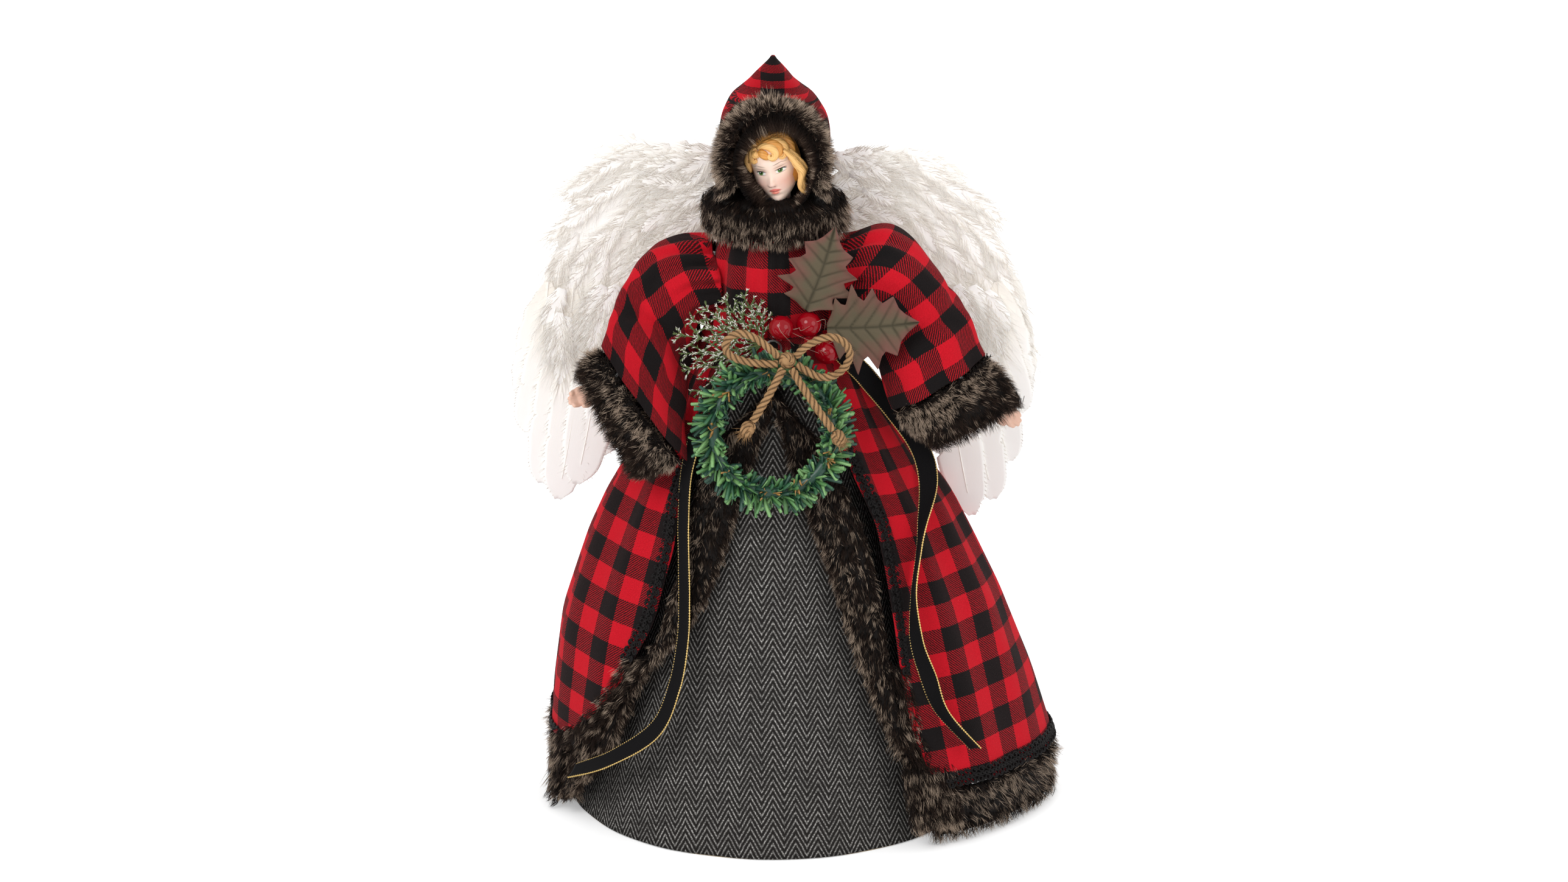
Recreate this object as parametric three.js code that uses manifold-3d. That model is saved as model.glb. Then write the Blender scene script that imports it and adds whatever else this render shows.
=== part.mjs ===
// Angel tree topper: a doll in a hooded plaid coat and herringbone skirt, built over an open paperboard cone.
// Millimetres, +Z up. The origin is the centre of the cone's open base, and the doll faces -Y.
// Left and right are as seen from the front: left is -X.
import * as THREE from 'three';
import { mergeVertices } from 'three/addons/utils/BufferGeometryUtils.js';
import Module from 'manifold-3d';

const wasm = await Module();
wasm.setup();

// Clearances
const touchGap = 0.35;
const facetGap = 0.7;
const torsoGap = 1.6;
const cutOverrun = 20;

// Facets round a turned piece
const fewSegments = 16;
const someSegments = 20;
const manySegments = 28;
const sphereRows = 10;

// Cone and skirt
const coneHeight = 262;
const skirtHemRadius = 104;
const skirtTopRadius = 24;
const skirtCloth = 1.2;
const skirtHemHeight = 0.6;
const skirtTopDrop = 4;
const coneWall = 1.6;
const plugDepth = 12;

// Coat
const chestHeight = 52.5;
const coatTopHeight = coneHeight + chestHeight;
const coatCloth = 2.4;
const coatStandoff = 10;
const coatFlareLeft = 27;
const coatFlareRight = 40.7;
const coatFlareBack = 24;
const coatFoldDepth = 3.2;
const coatHemFront = 33;
const coatHemBack = 31;
const coatHemLeft = 42;
const chestRadius = 34;
const armholeRadius = 10;
const furPile = 9;
const furSink = 1;
const hemFurDrop = 29.5;
const hemFurProud = 2.6;
const furCornerLow = 9;
const braidWidth = 8;
const braidThickness = 1.5;
const braidTopDrop = 36;

// Head, hair, hood and collar
const neckRadius = 6;
const neckLength = 28.9;
const neckBehind = 9;
const headAside = 1;
const headAhead = 11;
const headRise = 40.1;
const headHalfWidth = 12.2;
const headHalfDepth = 14;
const headHalfHeight = 16.4;
const chinShare = 0.3;
const hairThickness = 2.8;
const faceShares = [0.9, 0.86, 0.91];
const faceAhead = 17;
const faceBelow = 4;
const hairHemLift = 5.8;
const lockRadius = 2.8;
const hoodHeight = 65.8;
const hoodWidth = 29;
const hoodCloth = 1.8;
const hoodRingRadius = 25;
const hoodRingRise = 28.4;
const hoodRingLift = 16.8;
const hoodRingAhead = 18;
const hoodRingHalfWall = 7.3;
const hoodRingHalfDepth = 10;
const collarRadius = 22;
const collarHalfWall = 12.4;
const collarHeight = 23;
const collarSpreadShare = 1.08;
const headPlace = new THREE.Vector3(headAside, -headAhead, coatTopHeight + headRise);
const headHalf = new THREE.Vector3(headHalfWidth, headHalfDepth, headHalfHeight);
const collarBase = coatTopHeight + touchGap;
const hoodBase = collarBase + collarHeight + touchGap;
const hoodFrontPlane = hoodRingAhead - hoodRingHalfDepth - touchGap;

// Arms
const shoulderStandoff = 3.6;
const shoulderRise = 22;
const pivotInset = 4;
const pivotRise = 35;
const socketDepth = 2.6;
const armLength = 100;
const wireRadius = 1.3;
const paddingRadius = 6.8;
const paddingGap = 1.4;
const sleeveCloth = 2;
const cuffWall = 5;
const cuffProud = 2.6;
const palmHalfWidth = 5.6;
const handLength = 21;
const wristShare = 0.45;
const shoulderHalfWidth = chestRadius + shoulderStandoff;
const pivotHalfWidth = chestRadius - pivotInset;
const pivotHeight = coneHeight + pivotRise;

// Wings
const wingDownDepth = 13;
const wingRise = 33.5;
const wingHeight = 207;
const wingSpan = 130;
const featherThickness = 0.8;
const featherWidth = 15;
const featherLength = 96;
const cardThickness = 1.6;
const cardHalfWidth = 46;
const cardHeight = 26;
const cardTop = coatTopHeight - touchGap;

// Wreath, bow and greenery
const wreathRadius = 31;
const garlandRadius = 9.5;
const wreathStandoff = 23.4;
const wreathDrop = 42.5;
const wreathPlace = new THREE.Vector3(0, -(chestRadius + wreathStandoff), coneHeight - wreathDrop);
const wreathTilt = THREE.MathUtils.degToRad(16);
const hangerWire = 1.2;
const hangerGap = 0.5;
const knotRadius = 4.6;
const knotHalfDepth = 4;
const twineDiameter = 4.2;
const tailKnotRadius = 4.6;
const berryRadius = 6.5;
const berryLift = 0.55;
const leafLength = 48;
const leafWidth = 43;
const leafThickness = 0.9;
const sprigReach = 47;
const sprigThickness = 2.4;
const sprigAside = 6;
const sprigDrop = 4.5;
const sprigStandoff = 1.3;

// Ribbon
const ribbonWidth = 10.2;
const ribbonThickness = 0.9;
const ribbonLift = 3;

const group = new THREE.Group();

const colours = {
  plaid: [0x8f1418, 0.9], tweed: [0x3a3c3d, 0.9], fur: [0x40352e, 1], braid: [0x0d0d0f, 0.8],
  board: [0xb59a72, 0.9], foam: [0xe9e5da, 0.9], porcelain: [0xf2dccb, 0.35], hair: [0xd99a48, 0.6],
  wire: [0x8c8f94, 0.4], padding: [0xf2f0ea, 1], feather: [0xf3f1ee, 0.9], garland: [0x2f6a45, 0.6],
  twine: [0xb98d58, 0.9], cedar: [0x6d8462, 0.9], leaf: [0x5a4438, 0.8], berry: [0xa80f1c, 0.15],
  velvet: [0x0b0b0d, 0.9],
};

function addPiece(name, colourName, geometry) {
  const [colour, roughness] = colours[colourName];
  const metalness = colourName === 'wire' ? 1 : 0;
  const material = new THREE.MeshStandardMaterial({ color: colour, roughness, metalness });
  const mesh = new THREE.Mesh(geometry, material);
  mesh.name = name;
  group.add(mesh);
  return mesh;
}

// Value at a place in a table of rows, each a place and one or more values.
function lookUp(table, place, column = 1) {
  if (place <= table[0][0]) return table[0][column];
  for (let row = 1; row < table.length; row += 1) {
    const [before, after] = [table[row - 1], table[row]];
    if (place <= after[0]) {
      const part = (place - before[0]) / (after[0] - before[0]);
      return before[column] + (after[column] - before[column]) * part;
    }
  }
  return table[table.length - 1][column];
}

const mix = (from, to, part) => from + (to - from) * part;

// A closed geometry from points and triangles, turned so that its faces look outwards.
function closedGeometry(points, triangles) {
  let volume = 0;
  for (let at = 0; at < triangles.length; at += 3) {
    const [a, b, c] = [points[triangles[at]], points[triangles[at + 1]], points[triangles[at + 2]]];
    volume += a.dot(new THREE.Vector3().crossVectors(b, c));
  }
  const geometry = new THREE.BufferGeometry().setFromPoints(points);
  geometry.setIndex(volume < 0 ? triangles.slice().reverse() : triangles);
  return geometry.toNonIndexed();
}

// A solid through a row of closed outlines, with its two ends closed by fans.
function loftSolid(rings) {
  const count = rings[0].length;
  const points = rings.flat();
  const triangles = [];
  for (let ring = 0; ring < rings.length - 1; ring += 1) {
    for (let at = 0; at < count; at += 1) {
      const [below, above, next] = [ring * count, (ring + 1) * count, (at + 1) % count];
      triangles.push(below + at, below + next, above + next, below + at, above + next, above + at);
    }
  }
  for (const [ring, flip] of [[0, true], [rings.length - 1, false]]) {
    const centre = new THREE.Vector3();
    rings[ring].forEach((point) => centre.addScaledVector(point, 1 / count));
    points.push(centre);
    for (let at = 0; at < count; at += 1) {
      const [first, second] = [ring * count + at, ring * count + ((at + 1) % count)];
      triangles.push(points.length - 1, flip ? second : first, flip ? first : second);
    }
  }
  return closedGeometry(points, triangles);
}

// A skin between an outer and an inner grid of points, closed along its borders.
function skinSolid(outer, inner, wrapped = false) {
  const [rows, columns] = [outer.length, outer[0].length];
  const points = [...outer.flat(), ...inner.flat()];
  const shift = rows * columns;
  const triangles = [];
  const quad = (a, b, c, d) => triangles.push(a, b, c, a, c, d);
  const place = (row, column) => row * columns + (column % columns);
  const across = wrapped ? columns : columns - 1;
  for (let row = 0; row < rows - 1; row += 1) {
    for (let column = 0; column < across; column += 1) {
      const low = [place(row, column), place(row, column + 1)];
      const corner = [...low, place(row + 1, column + 1), place(row + 1, column)];
      quad(...corner);
      quad(...corner.map((at) => at + shift).reverse());
    }
    if (!wrapped) {
      quad(place(row + 1, 0), place(row + 1, 0) + shift, place(row, 0) + shift, place(row, 0));
      const end = columns - 1;
      quad(place(row, end), place(row, end) + shift, place(row + 1, end) + shift, place(row + 1, end));
    }
  }
  for (let column = 0; column < across; column += 1) {
    const [low, next] = [place(0, column), place(0, column + 1)];
    quad(low, low + shift, next + shift, next);
    const [high, after] = [place(rows - 1, column), place(rows - 1, column + 1)];
    quad(after, after + shift, high + shift, high);
  }
  return closedGeometry(points, triangles);
}

function toManifold(geometry) {
  const bare = geometry.clone();
  bare.deleteAttribute('normal');
  bare.deleteAttribute('uv');
  const merged = mergeVertices(bare);
  return new wasm.Manifold(new wasm.Mesh({
    numProp: 3,
    vertProperties: merged.attributes.position.array,
    triVerts: new Uint32Array(merged.index.array),
  }));
}

function fromManifold(solid) {
  const mesh = solid.getMesh();
  const geometry = new THREE.BufferGeometry();
  geometry.setAttribute('position', new THREE.BufferAttribute(mesh.vertProperties, mesh.numProp));
  geometry.setIndex(new THREE.BufferAttribute(mesh.triVerts, 1));
  return geometry.toNonIndexed();
}

// An ellipse of points round a centre, spanned by two half axes.
function ellipseRing(centre, halfA, halfB, count) {
  return Array.from({ length: count }, (_, at) => {
    const angle = (2 * Math.PI * at) / count;
    return centre.clone().addScaledVector(halfA, Math.cos(angle)).addScaledVector(halfB, Math.sin(angle));
  });
}

// A tube along a path of chosen points, with a step each few millimetres.
function tubeAlong(points, radius, sides, steps) {
  const path = new THREE.CatmullRomCurve3(points);
  const section = new THREE.Shape();
  for (let at = 0; at < sides; at += 1) {
    const angle = (2 * Math.PI * at) / sides;
    const [x, y] = [radius * Math.cos(angle), radius * Math.sin(angle)];
    if (at === 0) section.moveTo(x, y);
    else section.lineTo(x, y);
  }
  section.closePath();
  return new THREE.ExtrudeGeometry(section, { steps, extrudePath: path, curveSegments: 1 });
}

// The garments are laid out by an angle from the front, positive towards +X, a height and a radius.
const fullTurn = 360;
const inRadians = (degrees) => THREE.MathUtils.degToRad(degrees);
const aroundAxis = (degrees, height, radius) => new THREE.Vector3(
  radius * Math.sin(inRadians(degrees)),
  -radius * Math.cos(inRadians(degrees)),
  height,
);

const skirtRadiusAt = (height) => mix(skirtHemRadius, skirtTopRadius, Math.min(height / coneHeight, 1));

// Shares of coneHeight against shares of the coat's flare on each side.
const flareRightShares = [
  [0, 0.88], [0.11, 0.98], [0.27, 1], [0.435, 0.93], [0.54, 0.826], [0.63, 0.72],
  [0.695, 0.555], [0.763, 0.37], [0.84, 0.177], [0.916, 0.07], [1, 0],
];
const flareLeftShares = [
  [0, 0.2], [0.076, 0.37], [0.218, 0.72], [0.374, 1], [0.54, 1], [0.63, 0.9],
  [0.695, 0.726], [0.763, 0.444], [0.84, 0.23], [0.916, 0.1], [1, 0],
];
// Shares of the height from the cone's top to the coat's top against shares of chestRadius.
const chestShares = [[0, 1], [0.5, 0.97], [0.78, 0.92], [0.92, 0.84], [1, 0.76]];

function coatRadiusAt(degrees, height) {
  if (height >= coneHeight) {
    return chestRadius * lookUp(chestShares, (height - coneHeight) / (coatTopHeight - coneHeight));
  }
  const heightShare = height / coneHeight;
  const [across, along] = [Math.sin(inRadians(degrees)), Math.cos(inRadians(degrees))];
  const side = across > 0
    ? coatFlareRight * lookUp(flareRightShares, heightShare)
    : coatFlareLeft * lookUp(flareLeftShares, heightShare);
  const back = coatFlareBack * lookUp(flareRightShares, heightShare) * Math.max(0, -along) ** 2;
  const standoff = mix(coatStandoff, chestRadius - skirtTopRadius, heightShare);
  return skirtRadiusAt(height) + standoff + side * Math.abs(across) ** 3 + back;
}

// Shares of coneHeight against the angle from the front, in degrees, of the coat's two open edges.
const coatEdgeRight = [
  [0, 46], [0.13, 45.5], [0.24, 42.5], [0.36, 43], [0.47, 44.5], [0.64, 46.5],
  [0.74, 42], [0.82, 34], [0.87, 18], [0.91, 0.8], [1.2, 0.8],
];
const coatEdgeLeft = [
  [0, 80], [0.165, 76], [0.195, 65], [0.3, 53.5], [0.435, 45.5], [0.59, 44], [0.7, 46.5],
  [0.8, 44], [0.87, 20], [0.91, 0.8], [1.2, 0.8],
];
// The same for the fur facing's inner edges, which meet under the wreath.
const furEdgeRight = [
  [0, 49.5], [0.23, 36.5], [0.41, 30], [0.53, 26], [0.68, 17], [0.8, 6], [0.84, 1.2], [1, 1.2],
];
const furEdgeLeft = [
  [0, 71], [0.04, 69], [0.17, 53], [0.26, 51], [0.33, 47], [0.46, 30.5], [0.53, 25],
  [0.6, 22], [0.67, 18], [0.8, 7], [0.84, 1.2], [1, 1.2],
];

function coatHemHeightAt(degrees) {
  const [across, along] = [Math.sin(inRadians(degrees)), Math.cos(inRadians(degrees))];
  const left = across < 0 ? across ** 2 : 0;
  return mix(mix(coatHemFront, coatHemBack, (1 - along) / 2), coatHemLeft, left);
}

function foldAt(degrees, height, columnShare) {
  const foldCount = 9;
  const fadeTop = 0.86;
  const fade = Math.max(0, 1 - height / (coneHeight * fadeTop));
  const calmShare = 0.14;
  const edgeFade = Math.min(1, columnShare / calmShare, (1 - columnShare) / calmShare);
  return coatFoldDepth * fade * edgeFade * Math.sin(inRadians(degrees) * foldCount);
}

// The coat's outer grid. Its first and last rows and columns lie a braid's width apart.
const coatColumns = 34;
const coatRise = coatTopHeight - coatHemFront;
const waistShare = (coneHeight - coatHemFront) / coatRise;
const coatRowShares = [
  0, braidWidth / coatRise, 0.11, 0.21, 0.31, 0.41, 0.5, 0.58,
  0.65, 0.7, 0.742, 0.78, waistShare, 0.91, 0.97, 1,
];

function coatPlace(rowShare, column) {
  const braidDegrees = THREE.MathUtils.radToDeg(braidWidth / skirtRadiusAt(coatHemFront));
  let degrees = 180;
  let height = coatHemBack;
  let columnShare = 0;
  for (let pass = 0; pass < 4; pass += 1) {
    height = mix(coatHemHeightAt(degrees), coatTopHeight, rowShare);
    const right = lookUp(coatEdgeRight, height / coneHeight);
    const left = lookUp(coatEdgeLeft, height / coneHeight);
    const span = fullTurn - left - right;
    const inner = (column - 1) / (coatColumns - 2);
    columnShare = mix(braidDegrees / span, 1 - braidDegrees / span, inner);
    if (column === 0) columnShare = 0;
    if (column === coatColumns) columnShare = 1;
    degrees = right + span * columnShare;
  }
  return { degrees, height, radius: coatRadiusAt(degrees, height) + foldAt(degrees, height, columnShare) };
}

const coatGrid = coatRowShares.map((rowShare) => (
  Array.from({ length: coatColumns + 1 }, (_, column) => coatPlace(rowShare, column))
));

const gridAt = (grid, offset) => grid.map((row) => (
  row.map((place) => aroundAxis(place.degrees, place.height, place.radius + offset))
));

function makeCoat() {
  const shell = toManifold(skinSolid(gridAt(coatGrid, 0), gridAt(coatGrid, -coatCloth)));
  const length = 2 * (shoulderHalfWidth + cutOverrun);
  const armholes = new THREE.CylinderGeometry(armholeRadius, armholeRadius, length, someSegments);
  armholes.rotateZ(Math.PI / 2).translate(0, 0, pivotHeight);
  return fromManifold(shell.subtract(toManifold(armholes)));
}

const between = (from, to, part) => ({
  degrees: mix(from.degrees, to.degrees, part),
  height: mix(from.height, to.height, part),
  radius: mix(from.radius, to.radius, part),
});

// A braid laid on whole facets of the coat, drawn in a little from the grid lines that bound it.
function braidOn(rows) {
  return skinSolid(gridAt(rows, facetGap + braidThickness), gridAt(rows, facetGap));
}

function makeEdgeBraid(side) {
  const columns = side === 'right' ? [0, 1] : [coatColumns, coatColumns - 1];
  const rows = coatGrid.filter((row) => row[columns[0]].height < coneHeight - braidTopDrop);
  const inset = 0.06;
  return braidOn(rows.map((row) => {
    const [edge, inside] = columns.map((column) => row[column]);
    const pair = [between(edge, inside, inset), between(edge, inside, 1 - inset)];
    return side === 'right' ? pair : pair.reverse();
  }));
}

function makeHemBraid() {
  const [low, high] = [coatGrid[0], coatGrid[1]];
  const inset = 0.06;
  const rows = [inset, 1 - inset].map((part) => {
    const row = low.map((place, column) => between(place, high[column], part));
    const start = between(row[1], row[2], inset);
    const end = between(row[coatColumns - 1], row[coatColumns - 2], inset);
    return [start, ...row.slice(2, coatColumns - 1), end];
  });
  return braidOn(rows);
}

// The fur bands are rounded: each station's outline is drawn in shares of its width and depth.
function makeFrontFur(side) {
  const sign = side === 'right' ? 1 : -1;
  const edge = side === 'right' ? coatEdgeRight : coatEdgeLeft;
  const fur = side === 'right' ? furEdgeRight : furEdgeLeft;
  const lowest = side === 'right' ? coatHemFront : furCornerLow;
  const hemShare = (side === 'right' ? coatHemFront : coatHemLeft) / coneHeight;
  const topShare = 0.9;
  const heightCount = 18;
  const furGapGrowth = 3.5;
  const leastDegrees = 1;
  return loftSolid(Array.from({ length: heightCount }, (_, at) => {
    const height = mix(lowest, coneHeight * topShare, at / (heightCount - 1));
    const heightShare = height / coneHeight;
    const clearance = (touchGap + facetGap) * mix(1, furGapGrowth, heightShare);
    const gap = THREE.MathUtils.radToDeg(clearance / skirtRadiusAt(height));
    const inside = lookUp(fur, heightShare);
    const outside = Math.max(lookUp(edge, Math.max(heightShare, hemShare)) - gap, inside + leastDegrees);
    const roundShares = [
      [0, 0.45], [0, 0.8], [0.12, 1], [0.5, 1], [0.9, 1], [1, 0.85], [1, 0], [0.5, 0], [0.1, 0],
    ];
    return roundShares.map(([across, out]) => {
      const degrees = sign * mix(inside, outside, across);
      const base = skirtRadiusAt(height) + facetGap;
      const top = Math.max(coatRadiusAt(degrees, height) - furSink, base + furPile / 2);
      const low = Math.max(base, top - furPile);
      return aroundAxis(degrees, height, mix(low, top, out));
    });
  }));
}

function makeHemFur() {
  const columns = coatGrid[0];
  const roundShares = [[0, 0.2], [0.35, 0], [0.8, 0], [1, 0.25], [1, 0.85], [0.75, 1], [0.2, 1], [0, 0.8]];
  return loftSolid(columns.map((place) => roundShares.map(([out, up]) => {
    const low = mix(-coatCloth - furPile / 2, hemFurProud, out);
    const lift = mix(-hemFurDrop, 0, up) - touchGap;
    return aroundAxis(place.degrees, place.height + lift, place.radius + low);
  })));
}

function makeLathe(profile, segments) {
  const points = profile.map(([radius, height]) => new THREE.Vector2(radius, height));
  return new THREE.LatheGeometry(points, segments).rotateX(Math.PI / 2);
}

const skirtSegments = 48;
const coneRadiusAt = (height) => skirtRadiusAt(height) - skirtCloth - touchGap;

function makeSkirt() {
  const [low, high] = [skirtHemHeight, coneHeight - skirtTopDrop];
  return makeLathe([
    [skirtRadiusAt(low), low], [skirtRadiusAt(high), high], [skirtRadiusAt(high) - skirtCloth, high],
    [skirtRadiusAt(low) - skirtCloth, low], [skirtRadiusAt(low), low],
  ], skirtSegments);
}

function makeCone() {
  return makeLathe([
    [coneRadiusAt(0), 0], [coneRadiusAt(coneHeight), coneHeight],
    [coneRadiusAt(coneHeight) - coneWall, coneHeight], [coneRadiusAt(0) - coneWall, 0],
    [coneRadiusAt(0), 0],
  ], skirtSegments);
}

function makeTorso() {
  const plugLow = coneHeight - plugDepth;
  const plugRadius = coneRadiusAt(coneHeight) - coneWall - touchGap;
  const inset = coatCloth + torsoGap;
  const seat = coneHeight + touchGap;
  const rows = chestShares.map(([up, out]) => [chestRadius * out - inset, mix(coneHeight, coatTopHeight, up)]);
  const profile = [[0, plugLow], [plugRadius, plugLow], [plugRadius, seat], [rows[0][0], seat], ...rows.slice(1)];
  profile.push([0, coatTopHeight]);
  const solid = toManifold(makeLathe(profile, manySegments));
  const socket = new THREE.CylinderGeometry(armholeRadius, armholeRadius, 2 * cutOverrun, fewSegments);
  socket.rotateZ(Math.PI / 2);
  const depth = pivotHalfWidth - socketDepth + cutOverrun;
  const left = toManifold(socket.clone().translate(-depth, 0, pivotHeight));
  const right = toManifold(socket.clone().translate(depth, 0, pivotHeight));
  return fromManifold(solid.subtract(left).subtract(right));
}

function makeCollar() {
  const sides = 10;
  const middle = collarBase + collarHeight / 2;
  const profile = [];
  for (let at = 0; at <= sides; at += 1) {
    const angle = (2 * Math.PI * (at % sides)) / sides;
    const radius = collarRadius + collarHalfWall * Math.cos(angle);
    profile.push([radius, middle + (collarHeight / 2) * Math.sin(angle)]);
  }
  return makeLathe(profile, manySegments).scale(collarSpreadShare, 1, 1);
}

// The head narrows towards the chin.
function headShape(half) {
  const geometry = new THREE.SphereGeometry(1, someSegments, sphereRows + 2);
  const position = geometry.attributes.position;
  for (let at = 0; at < position.count; at += 1) {
    const [x, y, z] = [position.getX(at), position.getZ(at), -position.getY(at)];
    const down = Math.max(0, -z);
    const narrow = 1 - chinShare * down * down;
    position.setXYZ(at, x * half.x * narrow, y * half.y * narrow, z * half.z);
  }
  return geometry.translate(headPlace.x, headPlace.y, headPlace.z);
}

function makeHead() {
  const neck = new THREE.CylinderGeometry(neckRadius, neckRadius, neckLength, someSegments);
  neck.rotateX(Math.PI / 2).translate(0, headPlace.y + neckBehind, collarBase + neckLength / 2);
  return fromManifold(toManifold(headShape(headHalf)).add(toManifold(neck)));
}

function makeHair() {
  const grown = (extra) => headHalf.clone().addScalar(extra);
  const outer = toManifold(headShape(grown(hairThickness)));
  const inner = toManifold(headShape(grown(touchGap)));
  const [wide, deep, high] = headHalf.toArray().map((half, axis) => half * faceShares[axis]);
  const face = new THREE.SphereGeometry(1, fewSegments, sphereRows).scale(wide, deep, high);
  face.translate(headPlace.x, headPlace.y - faceAhead, headPlace.z - faceBelow);
  const below = new THREE.BoxGeometry(4 * headHalf.x, 4 * headHalf.y, 2 * headHalf.z);
  below.translate(headPlace.x, headPlace.y, hoodBase + hairHemLift - headHalf.z);
  const lockTop = headPlace.clone().add(new THREE.Vector3(headHalf.x, -headHalf.y / 2, -headHalf.z / 5));
  const lockEnd = new THREE.Vector3(lockTop.x - lockRadius / 2, lockTop.y - lockRadius, hoodBase + touchGap);
  const axis = new THREE.Vector3(lockRadius, 0, 0);
  const depth = new THREE.Vector3(0, lockRadius, 0);
  const lock = loftSolid([0, 0.35, 0.7, 1].map((part) => {
    const size = mix(1, 0.6, part);
    const centre = lockTop.clone().lerp(lockEnd, part);
    return ellipseRing(centre, axis.clone().multiplyScalar(size), depth.clone().multiplyScalar(size), 10);
  }));
  const cap = outer.subtract(inner).subtract(toManifold(face)).subtract(toManifold(below));
  const whole = cap.add(toManifold(lock).subtract(inner));
  return fromManifold(whole);
}

// Hood sections: share of its height, then half width, half depth and centre as shares of hoodWidth.
const hoodShares = [
  [0, 0.93, 0.83, 0.1], [0.18, 1, 0.86, 0.09], [0.36, 1.01, 0.86, 0.08], [0.52, 0.98, 0.85, 0.07],
  [0.64, 0.9, 0.83, 0.06], [0.72, 0.8, 0.62, 0.2], [0.76, 0.7, 0.5, 0.26], [0.82, 0.55, 0.4, 0.25],
  [0.88, 0.37, 0.3, 0.24], [0.94, 0.2, 0.18, 0.22], [0.98, 0.08, 0.08, 0.22], [1, 0.035, 0.035, 0.22],
];

function makeHood() {
  const columns = 22;
  const leastDegrees = 1.2;
  const tipShare = 0.11;
  const grid = (shrink) => hoodShares.map(([up, wide, deep, back]) => {
    const halfWidth = Math.max(hoodWidth * wide - shrink, hoodCloth * tipShare);
    const halfDepth = Math.max(hoodWidth * deep - shrink, hoodCloth * tipShare);
    const centre = hoodWidth * back;
    const reach = (centre + hoodFrontPlane) / (hoodWidth * deep);
    const edge = Math.max(THREE.MathUtils.radToDeg(Math.acos(Math.min(1, reach))), leastDegrees);
    return Array.from({ length: columns + 1 }, (_, column) => {
      const angle = inRadians(mix(edge, fullTurn - edge, column / columns));
      const height = hoodBase + hoodHeight * up - (up === 1 ? shrink : 0);
      return new THREE.Vector3(halfWidth * Math.sin(angle), centre - halfDepth * Math.cos(angle), height);
    });
  });
  return skinSolid(grid(0), grid(hoodCloth));
}

function makeHoodFur() {
  const stations = 20;
  const lowAngle = -32;
  return loftSolid(Array.from({ length: stations + 1 }, (_, at) => {
    const angle = inRadians(mix(lowAngle, 180 - lowAngle, at / stations));
    const out = new THREE.Vector3(Math.cos(angle), 0, Math.sin(angle));
    const height = hoodBase + hoodRingLift + out.z * hoodRingRise;
    const centre = new THREE.Vector3(out.x * hoodRingRadius, -hoodRingAhead, height);
    const depth = new THREE.Vector3(0, hoodRingHalfDepth, 0);
    return ellipseRing(centre, out.multiplyScalar(hoodRingHalfWall), depth, 12);
  }));
}

// Arm stations, as shares of armLength from the shoulder for the centre and for the half height and
// half depth, with the angle of the long axis from +X and its lean towards +Y, in degrees.
const arms = {
  left: {
    sleeveShares: [
      [0, 0, 0, 0.22, 0.235, 90, 0], [-0.135, -0.03, -0.09, 0.265, 0.225, 118, 0],
      [-0.25, -0.26, -0.29, 0.3, 0.13, 126, 8], [-0.29, -0.42, -0.535, 0.36, 0.125, 128, 16],
    ],
    cuffShares: [[-0.299, -0.424, -0.54, 0.36, 0.125, 127, 16], [-0.39, -0.44, -0.595, 0.35, 0.13, 123, 11],
      [-0.49, -0.45, -0.645, 0.33, 0.115, 118, 6]],
    wristShares: [-0.579, -0.43, -0.478],
    handDirection: new THREE.Vector3(-0.87, -0.22, -0.3).normalize(),
  },
  right: {
    sleeveShares: [
      [0, 0, 0, 0.22, 0.235, 90, 0], [0.175, -0.02, -0.01, 0.27, 0.225, 75, 0],
      [0.345, -0.1, -0.2, 0.29, 0.19, 49, 10], [0.48, -0.24, -0.475, 0.28, 0.155, 27, 20],
    ],
    cuffShares: [[0.484, -0.243, -0.4795, 0.28, 0.155, 27, 20], [0.57, -0.26, -0.58, 0.275, 0.155, 27, 14],
      [0.68, -0.275, -0.71, 0.26, 0.13, 27, 8]],
    wristShares: [0.815, -0.253, -0.638],
    handDirection: new THREE.Vector3(0.8, -0.12, -0.58).normalize(),
  },
};
const signOf = (side) => (side === 'left' ? -1 : 1);
const shoulderOf = (side) => new THREE.Vector3(signOf(side) * shoulderHalfWidth, 0, coneHeight + shoulderRise);
const pivotOf = (side) => new THREE.Vector3(signOf(side) * pivotHalfWidth, 0, pivotHeight);

function armRing(side, shares, shrinkLong, shrinkDeep, count = 16) {
  const [x, y, z, long, deep, angle, lean] = shares;
  const centre = new THREE.Vector3(x, y, z).multiplyScalar(armLength).add(shoulderOf(side));
  const [turn, tip] = [inRadians(angle), inRadians(lean)];
  const up = new THREE.Vector3(Math.cos(turn) * Math.cos(tip), Math.sin(tip), Math.sin(turn) * Math.cos(tip));
  const back = new THREE.Vector3(0, 1, 0).addScaledVector(up, -up.y).normalize();
  return ellipseRing(
    centre,
    up.multiplyScalar(long * armLength - shrinkLong),
    back.multiplyScalar(deep * armLength - shrinkDeep),
    count,
  );
}

// Stations between the chosen ones, on smooth curves.
function smoothShares(table, count) {
  return Array.from({ length: count }, (_, at) => {
    const place = (at / (count - 1)) * (table.length - 1);
    const row = Math.min(Math.floor(place), table.length - 2);
    const part = place - row;
    return table[0].map((_, column) => {
      const value = (index) => table[Math.max(0, Math.min(table.length - 1, index))][column];
      const [a, b, c, d] = [value(row - 1), value(row), value(row + 1), value(row + 2)];
      const square = part * part;
      return 0.5 * (2 * b + (c - a) * part + (2 * a - 5 * b + 4 * c - d) * square
        + (3 * b - a - 3 * c + d) * square * part);
    });
  });
}

function makeSleeve(side) {
  const stations = smoothShares(arms[side].sleeveShares, 9);
  const outer = stations.map((shares) => armRing(side, shares, 0, 0));
  const inner = stations.map((shares) => armRing(side, shares, sleeveCloth, sleeveCloth));
  return skinSolid(outer, inner, true);
}

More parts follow.
